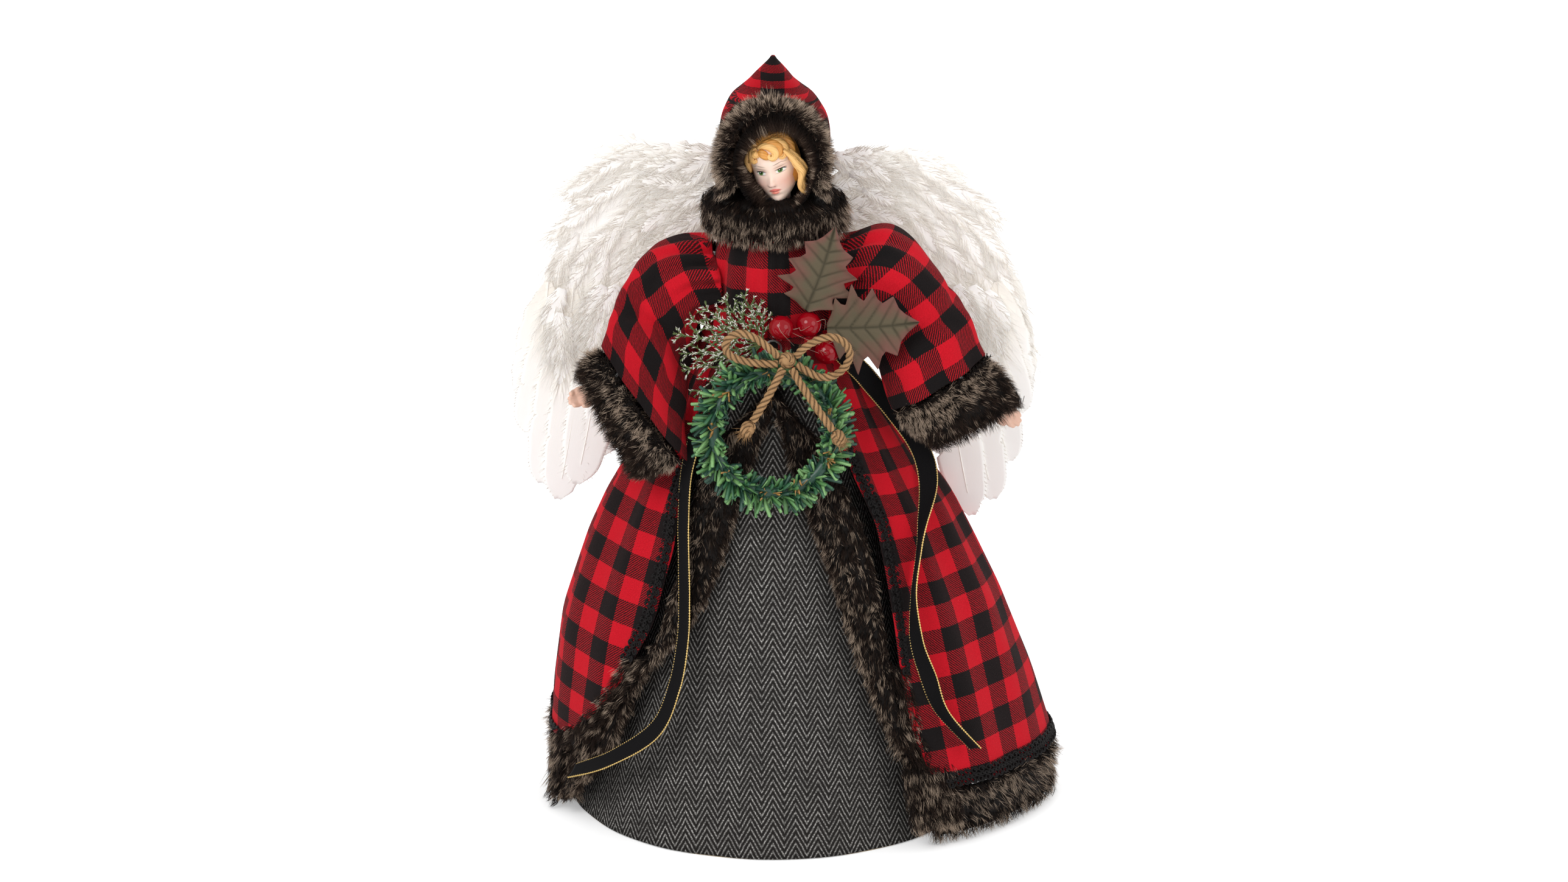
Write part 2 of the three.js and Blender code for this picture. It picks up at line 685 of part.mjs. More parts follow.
function makeCuff(side) {
  const stations = smoothShares(arms[side].cuffShares, 4);
  const bulgeShares = [0.1, 0.9, 1, 0.3];
  const outer = stations.map((shares, at) => {
    const proud = cuffProud * bulgeShares[at];
    return armRing(side, shares, -proud, -proud);
  });
  const inner = stations.map((shares, at) => {
    const wall = cuffWall * mix(0.6, 1, bulgeShares[at]);
    return armRing(side, shares, wall, wall);
  });
  return skinSolid(outer, inner, true);
}

const wristOf = (side) => {
  const [x, y, z] = arms[side].wristShares;
  return new THREE.Vector3(x, y, z).multiplyScalar(armLength).add(shoulderOf(side));
};

function armPath(side) {
  const pivot = pivotOf(side);
  const start = pivot.clone().add(new THREE.Vector3(signOf(side) * (facetGap - socketDepth), 0, 0));
  const end = wristOf(side).addScaledVector(arms[side].handDirection, -handLength * wristShare - 2 * touchGap);
  const [outShare, elbowShare, aheadShare, sagShare] = [0.14, 0.62, 0.02, 0.01];
  const out = pivot.clone().add(new THREE.Vector3(signOf(side) * armLength * outShare, 0, 0));
  const elbow = start.clone().lerp(end, elbowShare);
  elbow.add(new THREE.Vector3(0, -armLength * aheadShare, -armLength * sagShare));
  return [start, out, elbow, end];
}

function makeArmWire(side) {
  return tubeAlong(armPath(side), wireRadius, 6, 18);
}

function makeArmPadding(side) {
  const curve = new THREE.CatmullRomCurve3(armPath(side));
  const radiusShares = [0.75, 1, 1, 0.9, 0.7];
  const [from, to] = [0.14, 0.62];
  const rings = (radius) => radiusShares.map((share, at) => {
    const place = mix(from, to, at / (radiusShares.length - 1));
    const centre = curve.getPointAt(place);
    const along = curve.getTangentAt(place);
    const across = new THREE.Vector3(0, 1, 0).addScaledVector(along, -along.y).normalize();
    const up = new THREE.Vector3().crossVectors(along, across);
    const size = radius ?? paddingRadius * share;
    return ellipseRing(centre, across.multiplyScalar(size), up.multiplyScalar(size), 12);
  });
  return skinSolid(rings(null), rings(wireRadius + paddingGap), true);
}

function makeHand(side) {
  const wrist = wristOf(side);
  const along = arms[side].handDirection;
  const across = new THREE.Vector3(0, 1, 0).addScaledVector(along, -along.y).normalize();
  const up = new THREE.Vector3().crossVectors(along, across);
  // Place along the hand and the two half widths, as shares of handLength and palmHalfWidth.
  const handShares = [
    [-wristShare, 0.62, 0.62], [-0.2, 0.6, 0.62], [0, 0.75, 0.8], [0.18, 0.85, 1], [0.38, 0.75, 0.95],
    [0.5, 0.5, 0.65], [0.55, 0.25, 0.3],
  ];
  return loftSolid(handShares.map(([place, deep, high]) => {
    const centre = wrist.clone().addScaledVector(along, place * handLength);
    const halfA = across.clone().multiplyScalar(deep * palmHalfWidth);
    return ellipseRing(centre, halfA, up.clone().multiplyScalar(high * palmHalfWidth), 14);
  }));
}

// The card is glued to the coat's back, and the wings' down to the card.
const cardPlane = coatRadiusAt(180, cardTop - cardHeight) + touchGap;
const wingPlane = cardPlane + cardThickness + touchGap;

const wingBase = coatTopHeight + wingRise - wingHeight;
const wingPoint = (side, out, up) => (
  new THREE.Vector2(signOf(side) * out * wingSpan, wingBase + up * wingHeight)
);

// Outline of a wing's down, as shares of wingSpan out from the middle and of wingHeight up.
const downShares = {
  left: [
    [0.3, 0.874], [0.36, 0.941], [0.51, 1], [0.66, 0.958], [0.75, 0.866], [0.83, 0.773], [0.89, 0.647],
    [0.94, 0.546], [0.96, 0.428], [0.93, 0.328], [0.8, 0.328], [0.66, 0.428], [0.5, 0.529], [0.4, 0.647], [0.32, 0.765],
  ],
  right: [
    [0.31, 0.874], [0.38, 0.933], [0.5, 0.975], [0.64, 0.958], [0.75, 0.899], [0.85, 0.807], [0.93, 0.706],
    [0.98, 0.597], [1.01, 0.479], [0.95, 0.361], [0.82, 0.328], [0.68, 0.428], [0.52, 0.529], [0.42, 0.647], [0.33, 0.765],
  ],
};

// An outline in the plane that faces the front, with its front face at the given distance behind the middle.
function uprightSlab(points, depth, plane) {
  const shape = new THREE.Shape(points.map(([x, z]) => new THREE.Vector2(x, z)));
  const geometry = new THREE.ExtrudeGeometry(shape, { depth, bevelEnabled: false, curveSegments: 4 });
  return geometry.rotateX(Math.PI / 2).translate(0, plane + depth, 0);
}

function makeWingDown(side) {
  const closed = [...downShares[side], downShares[side][0]];
  const spline = new THREE.SplineCurve(closed.map(([out, up]) => wingPoint(side, out, up)));
  const outlineCount = 44;
  const outline = spline.getPoints(outlineCount).slice(0, -1);
  const middle = outline.reduce((sum, point) => sum.add(point), new THREE.Vector2()).divideScalar(outline.length);
  const layer = (share, plane) => outline.map((point) => {
    const drawn = middle.clone().lerp(point, share);
    return new THREE.Vector3(drawn.x, plane, drawn.y);
  });
  const layerShares = [[0.86, 0], [1, 0.3], [1, 0.65], [0.86, 1]];
  return loftSolid(layerShares.map(([size, deep]) => layer(size, wingPlane + wingDownDepth * deep)));
}

// Long feathers: root and tip as shares of wingSpan out and wingHeight up, for each side.
const featherShares = {
  left: [
    [0.86, 0.496, 0.985, 0.218], [0.82, 0.479, 0.93, 0.084], [0.76, 0.479, 0.865, 0.042],
    [0.68, 0.496, 0.79, 0.084], [0.6, 0.529, 0.7, 0.159],
  ],
  right: [
    [0.86, 0.496, 0.99, 0.269], [0.82, 0.462, 0.95, 0.143], [0.76, 0.462, 0.885, 0.042],
    [0.68, 0.479, 0.8, 0], [0.6, 0.529, 0.7, 0.159],
  ],
};
const bladeShares = [[0, 0.12], [0.15, 0.7], [0.4, 1], [0.7, 0.95], [0.9, 0.6], [1, 0.1]];

function makeFeather(side, number) {
  const [rootOut, rootUp, tipOut, tipUp] = featherShares[side][number];
  const root = wingPoint(side, rootOut, rootUp);
  const tip = wingPoint(side, tipOut, tipUp);
  const along = tip.clone().sub(root);
  const reach = along.length();
  along.normalize();
  const across = new THREE.Vector2(-along.y, along.x);
  const half = (featherWidth / 2) * Math.min(1, reach / (featherLength / 2));
  const edge = (direction) => bladeShares.map(([place, wide]) => (
    root.clone().addScaledVector(along, place * reach).addScaledVector(across, direction * wide * half)
  ));
  const outline = [...edge(1), ...edge(-1).reverse()].map((point) => [point.x, point.y]);
  const step = featherThickness + touchGap;
  const plane = wingPlane - touchGap - featherThickness - number * step;
  return uprightSlab(outline, featherThickness, plane);
}

function makeWingCard() {
  const card = new THREE.BoxGeometry(2 * cardHalfWidth, cardThickness, cardHeight);
  return card.translate(0, cardPlane + cardThickness / 2, cardTop - cardHeight / 2);
}

function makeWreath() {
  const sides = 10;
  const bumpShare = 0.06;
  const turns = 36;
  const profile = Array.from({ length: sides + 1 }, (_, at) => {
    const angle = (2 * Math.PI * (at % sides)) / sides;
    const size = garlandRadius * (1 - bumpShare * (at % 2));
    return new THREE.Vector2(wreathRadius + size * Math.cos(angle), size * Math.sin(angle));
  });
  return new THREE.LatheGeometry(profile, turns);
}

// The hanger is a small wire ring that joins the wreath's top, at its back, to the coat.
const hangerTie = new THREE.Vector3(0, -(coatRadiusAt(0, coneHeight) + hangerGap + hangerWire / 2), coneHeight);

function makeHanger() {
  const topCentre = new THREE.Vector3(0, Math.sin(wreathTilt), Math.cos(wreathTilt));
  topCentre.multiplyScalar(wreathRadius).add(wreathPlace);
  const reach = hangerTie.clone().sub(topCentre);
  const long = reach.length() - garlandRadius - hangerWire / 2;
  const direction = reach.normalize();
  const sides = 6;
  const profile = Array.from({ length: sides + 1 }, (_, at) => {
    const angle = (2 * Math.PI * (at % sides)) / sides;
    const [out, up] = [(hangerWire / 2) * Math.cos(angle), (hangerWire / 2) * Math.sin(angle)];
    return new THREE.Vector2(long / 2 + out, up);
  });
  const ring = new THREE.LatheGeometry(profile, fewSegments);
  ring.rotateX(Math.atan2(-direction.y, direction.z));
  const centre = hangerTie.clone().addScaledVector(direction, -long / 2);
  return ring.translate(centre.x, centre.y, centre.z);
}

function makeBall(place, radius, halfDepth = radius) {
  const ball = new THREE.SphereGeometry(1, fewSegments, sphereRows).scale(radius, halfDepth, radius);
  return ball.translate(place.x, place.y, place.z);
}

// Twine routes, chosen by hand, from the knot and back to it, or from the knot to a tail's knot.
const twineRoutes = {
  loop_left: [
    [2.5, -58, 261.7], [-2.6, -59, 267], [-10, -59.4, 272.6], [-17.5, -59, 274.6], [-23, -58.4, 271.6],
    [-24.6, -58, 266], [-21, -58.4, 261.6], [-13.5, -58.8, 259], [-5.5, -58.6, 257.8], [2.4, -58, 257.4],
  ],
  loop_right: [
    [12, -58, 261.9], [17, -59.4, 267.4], [24.5, -60.6, 272.2], [31.5, -61, 273.2], [37.5, -60.4, 269.4],
    [39.6, -59.8, 263], [37.2, -59.4, 256.4], [31, -59.4, 251.4], [24, -59.2, 250.8], [17.6, -58.8, 253.8],
    [12.2, -58, 257.2],
  ],
  tail_left: [
    [5, -61, 255.6], [1.8, -65.4, 250.6], [-2.6, -69, 243.4], [-7, -70.8, 236.4], [-10.4, -71.6, 230.9],
  ],
  tail_right: [
    [9.8, -61, 255.6], [14.2, -65.6, 249.4], [20.2, -69.2, 241], [26.4, -70.9, 232.2], [31, -71.9, 226],
  ],
};
const knotPlace = new THREE.Vector3(7.3, -57.9, 259.5);

// A tail's knot lies just past the end of its route.
function tailKnotPlace(side) {
  const [before, end] = twineRoutes[`tail_${side}`].slice(-2).map((point) => new THREE.Vector3(...point));
  return end.clone().addScaledVector(end.clone().sub(before).normalize(), tailKnotRadius + touchGap);
}

function makeTwine(name) {
  const points = twineRoutes[name].map(([x, y, z]) => new THREE.Vector3(x, y, z));
  const steps = name.startsWith('loop') ? 18 : 7;
  return tubeAlong(points, twineDiameter / 2, 8, steps);
}

// Berries: angle from the front in degrees and share of the chest's height where each is seated.
const berryPlaces = [[6, 0.17], [27, 0.18], [40, -0.13]];

function makeBerry(number) {
  const [degrees, up] = berryPlaces[number];
  const height = mix(coneHeight, coatTopHeight, up);
  const radius = coatRadiusAt(degrees, height) + berryLift + berryRadius;
  return makeBall(aroundAxis(degrees, height, radius), berryRadius);
}

// A lobed leaf with spiny points, as shares of its length and half width, along one side.
const leafShares = [
  [0, 0.06], [0.1, 0.62], [0.2, 0.5], [0.3, 1], [0.4, 0.62], [0.52, 0.86], [0.6, 0.52], [0.74, 0.6],
  [0.82, 0.26], [1, 0],
];

function makeLeaf(place, turn, plane) {
  const edge = (side) => leafShares.map(([up, out]) => (
    new THREE.Vector2((side * out * leafWidth) / 2, up * leafLength)
  ));
  const shape = new THREE.Shape([...edge(1), ...edge(-1).slice(0, -1).reverse()]);
  const geometry = new THREE.ExtrudeGeometry(shape, { depth: leafThickness, bevelEnabled: false });
  geometry.rotateX(Math.PI / 2).rotateY(inRadians(turn));
  return geometry.translate(place.x, plane, place.z);
}

function makeSprig() {
  const lobes = 7;
  const [from, to] = [100, 195];
  const perLobe = 4;
  const points = [new THREE.Vector2(0, 0)];
  for (let at = 0; at <= lobes * perLobe; at += 1) {
    const angle = inRadians(mix(from, to, at / (lobes * perLobe)));
    const wave = 0.5 - 0.5 * Math.cos((2 * Math.PI * at) / perLobe);
    const innerShare = 0.55;
    const reach = sprigReach * mix(innerShare, 1, wave);
    points.push(new THREE.Vector2(reach * Math.cos(angle), reach * Math.sin(angle)));
  }
  const shape = new THREE.Shape(points);
  const geometry = new THREE.ExtrudeGeometry(shape, { depth: sprigThickness, bevelEnabled: false });
  geometry.rotateX(Math.PI / 2);
  return geometry.translate(-sprigAside, -(chestRadius + sprigStandoff), coneHeight - sprigDrop);
}

// Ribbon routes: angle from the front in degrees and share of coneHeight, from the top down.
const ribbonShares = {
  left: [
    [-40, 0.82], [-40, 0.754], [-36, 0.656], [-32, 0.542], [-32, 0.39], [-36, 0.267], [-45, 0.183], [-60, 0.125],
  ],
  right: [
    [62, 0.9], [72, 0.8], [69, 0.69], [57, 0.585], [48.5, 0.475], [46, 0.38], [49, 0.282], [55, 0.178],
  ],
};

function makeRibbon(side) {
  const route = new THREE.CatmullRomCurve3(ribbonShares[side].map(([degrees, up]) => (
    aroundAxis(degrees, up * coneHeight, coatRadiusAt(degrees, up * coneHeight) + ribbonLift)
  )));
  const steps = 22;
  const rows = (offset) => Array.from({ length: steps + 1 }, (_, at) => {
    const centre = route.getPointAt(at / steps);
    const along = route.getTangentAt(at / steps);
    const out = new THREE.Vector3(centre.x, centre.y, 0).normalize();
    const across = new THREE.Vector3().crossVectors(along, out).normalize();
    return [-1, 0, 1].map((half) => {
      const point = centre.clone().addScaledVector(across, (half * ribbonWidth) / 2);
      const degrees = THREE.MathUtils.radToDeg(Math.atan2(point.x, -point.y));
      return aroundAxis(degrees, point.z, coatRadiusAt(degrees, point.z) + ribbonLift + offset);
    });
  });
  return skinSolid(rows(ribbonThickness), rows(0));
}

addPiece('cone_form', 'board', makeCone());
addPiece('skirt', 'tweed', makeSkirt());
addPiece('torso_core', 'foam', makeTorso());
addPiece('coat_body', 'plaid', makeCoat());
addPiece('coat_fur_front_left', 'fur', makeFrontFur('left'));
addPiece('coat_fur_front_right', 'fur', makeFrontFur('right'));
addPiece('coat_fur_hem', 'fur', makeHemFur());
addPiece('coat_braid_left', 'braid', makeEdgeBraid('left'));
addPiece('coat_braid_right', 'braid', makeEdgeBraid('right'));
addPiece('coat_braid_hem', 'braid', makeHemBraid());
addPiece('fur_collar', 'fur', makeCollar());
addPiece('head', 'porcelain', makeHead());
addPiece('hair', 'hair', makeHair());
addPiece('hood_shell', 'plaid', makeHood());
addPiece('hood_fur', 'fur', makeHoodFur());

for (const side of ['left', 'right']) {
  addPiece(`${side}_arm_wire`, 'wire', makeArmWire(side));
  addPiece(`${side}_arm_padding`, 'padding', makeArmPadding(side));
  addPiece(`${side}_sleeve`, 'plaid', makeSleeve(side));
  addPiece(`${side}_cuff_fur`, 'fur', makeCuff(side));
  addPiece(`${side}_hand`, 'porcelain', makeHand(side));
  addPiece(`${side}_wing_down`, 'feather', makeWingDown(side));
  featherShares[side].forEach((_, number) => (
    addPiece(`${side}_wing_feather_${number + 1}`, 'feather', makeFeather(side, number))
  ));
  addPiece(`${side}_ribbon`, 'velvet', makeRibbon(side));
}
addPiece('wing_card', 'board', makeWingCard());

const wreath = addPiece('wreath', 'garland', makeWreath());
wreath.position.copy(wreathPlace);
wreath.rotation.x = -wreathTilt;
addPiece('wreath_hanger', 'wire', makeHanger());
addPiece('jute_knot', 'twine', makeBall(knotPlace, knotRadius, knotHalfDepth));
for (const side of ['left', 'right']) {
  addPiece(`jute_loop_${side}`, 'twine', makeTwine(`loop_${side}`));
  addPiece(`jute_tail_${side}`, 'twine', makeTwine(`tail_${side}`));
  addPiece(`jute_tail_knot_${side}`, 'twine', makeBall(tailKnotPlace(side), tailKnotRadius));
}

addPiece('cedar_sprig', 'cedar', makeSprig());
const leafPlaceShares = { upper: [0.5, 2.6], side: [0.82, 1] };
const leafFoot = ([across, up]) => new THREE.Vector3(chestRadius * across, 0, coneHeight + berryRadius * up);
const leafTurns = { upper: 18, side: 80 };
const leafPlane = -(collarRadius + collarHalfWall + 2 * facetGap);
['upper', 'side'].forEach((which, layer) => {
  const plane = leafPlane - layer * (leafThickness + touchGap);
  addPiece(`holly_leaf_${which}`, 'leaf', makeLeaf(leafFoot(leafPlaceShares[which]), leafTurns[which], plane));
});
berryPlaces.forEach((_, number) => addPiece(`berry_${number + 1}`, 'berry', makeBerry(number)));

export default group;
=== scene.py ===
import math

import bpy
import bmesh
import numpy as np
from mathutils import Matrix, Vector
from mathutils.kdtree import KDTree


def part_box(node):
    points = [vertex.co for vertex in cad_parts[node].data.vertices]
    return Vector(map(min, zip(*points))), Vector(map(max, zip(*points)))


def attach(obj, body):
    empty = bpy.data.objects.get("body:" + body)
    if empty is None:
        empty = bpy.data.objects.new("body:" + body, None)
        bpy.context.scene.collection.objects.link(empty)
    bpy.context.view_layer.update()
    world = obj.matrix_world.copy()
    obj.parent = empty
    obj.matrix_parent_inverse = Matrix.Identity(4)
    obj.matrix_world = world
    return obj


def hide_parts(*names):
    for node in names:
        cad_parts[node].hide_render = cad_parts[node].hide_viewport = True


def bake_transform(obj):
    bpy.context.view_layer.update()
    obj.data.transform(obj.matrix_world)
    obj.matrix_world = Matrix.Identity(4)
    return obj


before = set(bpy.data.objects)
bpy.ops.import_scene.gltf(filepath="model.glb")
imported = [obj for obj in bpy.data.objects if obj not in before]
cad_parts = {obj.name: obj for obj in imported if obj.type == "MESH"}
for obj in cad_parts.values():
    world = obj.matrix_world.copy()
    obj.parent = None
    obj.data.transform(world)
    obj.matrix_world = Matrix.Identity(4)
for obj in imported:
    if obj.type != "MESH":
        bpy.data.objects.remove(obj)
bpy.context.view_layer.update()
bpy.ops.object.select_all(action="DESELECT")

# The dressed angel: cloth, fur, feathers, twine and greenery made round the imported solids.
# Metres, +Z up, the doll faces -Y. Left and right are as seen from the front.
mm = 0.001
touch_gap = 0.35 * mm
rng = np.random.default_rng(1224)
side_sign = {"left": -1, "right": 1}

# Camera
photo_width = 2576
metres_per_pixel = 0.3167 * mm
camera_distance = 12
camera_elevation = 20
camera_aim = (5.7 * mm, 0, 194 * mm)

# Cloth
waist_height = 262 * mm
chest_height = 52.5 * mm
chest_radius = 34 * mm
skirt_cloth = 1.2 * mm
coat_cloth = 2 * mm
check_size = 12.5 * mm
twill_size = 1.5 * mm
thread_size = 0.35 * mm
herringbone_width = 5.9 * mm
herringbone_rise = 4.1 * mm
ribbon_width = 10 * mm
gimp_width = 8 * mm
gimp_pitch = 4.6 * mm
gimp_lift = 0.9 * mm

# Arms: stations in shares of arm_length from the shoulder, half sizes, turn and lean in degrees
arm_length = 100 * mm
shoulder_rise = 22 * mm
hand_voxel = 0.42 * mm
armhole_radius = 10.5 * mm
armhole_height = 297 * mm
sleeve_shares = {
    "left": [
        (0, 0, 0, 0.22, 0.235, 90, 0), (-0.135, -0.03, -0.09, 0.265, 0.225, 118, 0),
        (-0.25, -0.26, -0.29, 0.3, 0.13, 126, 8), (-0.29, -0.42, -0.535, 0.36, 0.125, 128, 16),
    ],
    "right": [
        (0, 0, 0, 0.22, 0.235, 90, 0), (0.175, -0.02, -0.01, 0.27, 0.225, 75, 0),
        (0.345, -0.1, -0.2, 0.29, 0.19, 49, 10), (0.48, -0.24, -0.475, 0.28, 0.155, 27, 20),
    ],
}
wrist_shares = {"left": (-0.579, -0.43, -0.478), "right": (0.815, -0.253, -0.638)}
hand_directions = {"left": (-0.87, -0.22, -0.3), "right": (0.8, -0.12, -0.58)}

# Wreath, twine and greenery
wreath_radius = 31 * mm
wreath_tilt = math.radians(16)
wreath_place = np.array((0, -57.4, 219.5)) * mm
twine_diameter = 4.2 * mm
twine_lay = 11 * mm
knot_lay = 9 * mm
tail_knot_radius = 4.6 * mm
knot_place = np.array((7.3, -57.9, 259.5)) * mm
knot_radius = 4.6 * mm
berry_radius = 6.5 * mm
leaf_length = 48 * mm
leaf_width = 43 * mm
sprig_root = np.array((-6, -36.5, 260.5)) * mm
twine_routes = {
    "jute_loop_left": [
        (2.5, -58, 261.7), (-2.6, -59, 267), (-10, -59.4, 272.6), (-17.5, -59, 274.6), (-23, -58.4, 271.6),
        (-24.6, -58, 266), (-21, -58.4, 261.6), (-13.5, -58.8, 259), (-5.5, -58.6, 257.8), (2.4, -58, 257.4),
    ],
    "jute_loop_right": [
        (12, -58, 261.9), (17, -59.4, 267.4), (24.5, -60.6, 272.2), (31.5, -61, 273.2), (37.5, -60.4, 269.4),
        (39.6, -59.8, 263), (37.2, -59.4, 256.4), (31, -59.4, 251.4), (24, -59.2, 250.8),
        (17.6, -58.8, 253.8), (12.2, -58, 257.2),
    ],
    "jute_tail_left": [
        (5, -61, 255.6), (1.8, -65.4, 250.6), (-2.6, -69, 243.4), (-7, -70.8, 236.4), (-10.4, -71.6, 230.9),
    ],
    "jute_tail_right": [
        (9.8, -61, 255.6), (14.2, -65.6, 249.4), (20.2, -69.2, 241), (26.4, -70.9, 232.2), (31, -71.9, 226),
    ],
}


def unit(vectors):
    vectors = np.asarray(vectors, float)
    return vectors / np.maximum(np.linalg.norm(vectors, axis=-1, keepdims=True), 1e-12)


def mix(low, high, part):
    return low + (high - low) * part


def ease(value, low, high):
    part = np.clip((value - low) / (high - low), 0, 1)
    return part * part * (3 - 2 * part)


def hump(value, centre, spread):
    return np.exp(-(((value - centre) / spread) ** 2))


def stacked(*values):
    """Values side by side in the last direction of an array, each spread to the shape of the others."""
    return np.stack(np.broadcast_arrays(*values), axis=-1)


def ripple(points, size, seed=0):
    """Smooth waves through space: three values from -1 to 1 at each point, alike where points are near."""
    waves = np.random.default_rng(seed)
    total = np.zeros((len(points), 3))
    for _ in range(7):
        swing = unit(waves.normal(size=3)) * waves.uniform(0.6, 1.7) * 2 * math.pi / size
        phase = waves.uniform(0, 2 * math.pi, 3)
        total += np.sin((points @ swing)[:, None] + phase)
    return np.clip(total / 3.2, -1, 1)


# Meshes


def write_mesh(name, points, faces, uv, mark):
    mesh = bpy.data.meshes.new(name)
    loops = np.concatenate([rows.ravel() for rows in faces]).astype(np.int32)
    sizes = np.concatenate([np.full(len(rows), rows.shape[1]) for rows in faces])
    starts = np.concatenate([[0], np.cumsum(sizes)[:-1]]).astype(np.int32)
    mesh.vertices.add(len(points))
    mesh.vertices.foreach_set("co", np.asarray(points, np.float32).ravel())
    mesh.loops.add(len(loops))
    mesh.loops.foreach_set("vertex_index", loops)
    mesh.polygons.add(len(sizes))
    mesh.polygons.foreach_set("loop_start", starts)
    mesh.update(calc_edges=True)
    mesh.uv_layers.new(name="cloth").data.foreach_set("uv", np.asarray(uv, np.float32)[loops].ravel())
    field = mesh.attributes.new("mark", "FLOAT_VECTOR", "POINT")
    field.data.foreach_set("vector", np.asarray(mark, np.float32).ravel())
    mesh.validate()
    mesh.shade_smooth()
    return mesh


class Heap:
    """Small meshes gathered into one. Each point has a place on the cloth and a mark of three values."""

    def __init__(self):
        self.points, self.faces, self.uv, self.mark = [], [], [], []
        self.count = 0

    def add(self, points, faces, uv=None, mark=(0, 0.5, 0)):
        points = np.asarray(points, float).reshape(-1, 3)
        self.points.append(points)
        self.faces += [rows + self.count for rows in faces]
        self.uv.append(np.zeros((len(points), 2)) if uv is None else np.reshape(uv, (-1, 2)))
        self.mark.append(np.broadcast_to(mark, (len(points), 3)))
        self.count += len(points)

    def add_shell(self, outer, inner, uv=None, mark=(0, 0.5, 0)):
        """A closed skin between two grids, which share their places on the cloth and their marks."""
        points, faces = shell(outer, inner)
        uv = None if uv is None else np.concatenate([uv.reshape(-1, 2)] * 2)
        mark = mark if np.ndim(mark) == 1 else np.concatenate([mark.reshape(-1, 3)] * 2)
        self.add(points, faces, uv, mark)

    def piece(self, name, material, slot, body, replaced=()):
        arrays = [np.concatenate(rows) for rows in (self.points, self.uv, self.mark)]
        mesh = write_mesh(name, arrays[0], self.faces, arrays[1], arrays[2])
        made = bpy.data.objects.new(name, mesh)
        bpy.context.scene.collection.objects.link(made)
        mesh.materials.append(material)
        if body:
            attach(made, body)
        if replaced:
            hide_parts(*replaced)
        return made


def grid_faces(rows, columns, wrapped=False):
    across = columns if wrapped else columns - 1
    row = np.arange(rows - 1)[:, None] * columns
    low = row + np.arange(across)[None]
    after = row + (np.arange(across)[None] + 1) % columns
    return stacked(low, after, after + columns, low + columns).reshape(-1, 4)


def closed_faces(rows, turns):
    """Faces of rows of points round a form, with a fan at each end. The two middles of the fans come last."""
    low = np.arange(turns)
    after = (low + 1) % turns
    end = (rows - 1) * turns
    fans = [stacked(after, low, rows * turns), stacked(low + end, after + end, rows * turns + 1)]
    return [grid_faces(rows, turns, True), *fans]


def spike_faces(count, rings, sides):
    """Faces of many spikes, each with a flat foot, some rings of points, and its tip as the last point."""
    pattern = [(0, turn + 1, turn) for turn in range(1, sides - 1)]
    for ring in range(rings - 1):
        for turn in range(sides):
            low, after = sides * ring + turn, sides * ring + (turn + 1) % sides
            pattern += [(low, after, after + sides), (low, after + sides, low + sides)]
    tip = sides * rings
    pattern += [(tip - sides + turn, tip - sides + (turn + 1) % sides, tip) for turn in range(sides)]
    return (np.array(pattern)[None] + np.arange(count)[:, None, None] * (tip + 1)).reshape(-1, 3)


def shell(outer, inner):
    """Points and faces of a closed skin between two grids of points."""
    rows, columns = outer.shape[:2]
    count = rows * columns
    points = np.concatenate([outer.reshape(-1, 3), inner.reshape(-1, 3)])
    low = np.arange(columns - 1)
    top = low + count - columns
    left = np.arange(rows - 1) * columns
    right = left + columns - 1
    rims = [
        stacked(low + 1, low, low + count, low + 1 + count),
        stacked(top, top + 1, top + 1 + count, top + count),
        stacked(left, left + columns, left + columns + count, left + count),
        stacked(right + columns, right, right + count, right + columns + count),
    ]
    faces = grid_faces(rows, columns)
    faces = np.concatenate([faces, faces[:, ::-1] + count, *rims])
    corners = points[faces]
    volume = np.einsum("ij,ij->i", corners[:, 0], np.cross(corners[:, 1], corners[:, 2])).sum()
    volume += np.einsum("ij,ij->i", corners[:, 0], np.cross(corners[:, 2], corners[:, 3])).sum()
    return points, [faces if volume > 0 else faces[:, ::-1]]


def smooth_between(a, b, c, d, part):
    """Points on the smooth curve from b to c, where a and d are the points before and after them."""
    bend = (2 * a - 5 * b + 4 * c - d) * part ** 2 + (3 * b - a - 3 * c + d) * part ** 3
    return 0.5 * (2 * b + (c - a) * part + bend)


def smooth_path(points, count):
    """Evenly spaced points on a smooth curve through the given ones."""
    points = np.asarray(points, float)
    beyond = np.vstack([2 * points[0] - points[1], points, 2 * points[-1] - points[-2]])
    part = np.linspace(0, 1, 24, endpoint=False)[:, None]
    fine = [smooth_between(*beyond[at:at + 4], part) for at in range(len(points) - 1)]
    fine = np.vstack([*fine, points[-1:]])
    reach = path_reach(fine)
    even = np.linspace(0, reach[-1], count)
    return stacked(*[np.interp(even, reach, fine[:, axis]) for axis in range(fine.shape[1])])


def smooth_rows(table, count):
    """A table at even steps from its first row to its last, with smooth rows between its own."""
    table = np.asarray(table, float)
    beyond = np.vstack([table[0], table, table[-1]])
    place = np.linspace(0, len(table) - 1, count)
    row = np.minimum(place.astype(int), len(table) - 2)
    return smooth_between(*[beyond[row + at] for at in range(4)], (place - row)[:, None])


def path_reach(path):
    return np.concatenate([[0], np.cumsum(np.linalg.norm(np.diff(path, axis=0), axis=1))])


def grid_reach(grid, axis):
    """How far each point of a grid lies from the start of its row or column, along the cloth."""
    steps = np.diff(grid, axis=axis, prepend=grid.take([0], axis))
    return np.cumsum(np.linalg.norm(steps, axis=2), axis=axis)


def path_frames(path):
    along = unit(np.gradient(path, axis=0))
    side = np.zeros_like(path)
    side[0] = unit(np.cross(along[0], unit((0.3, 0.9, 0.25))))
    for at in range(1, len(path)):
        side[at] = unit(side[at - 1] - along[at] * np.dot(side[at - 1], along[at]))
    return along, side, np.cross(along, side)


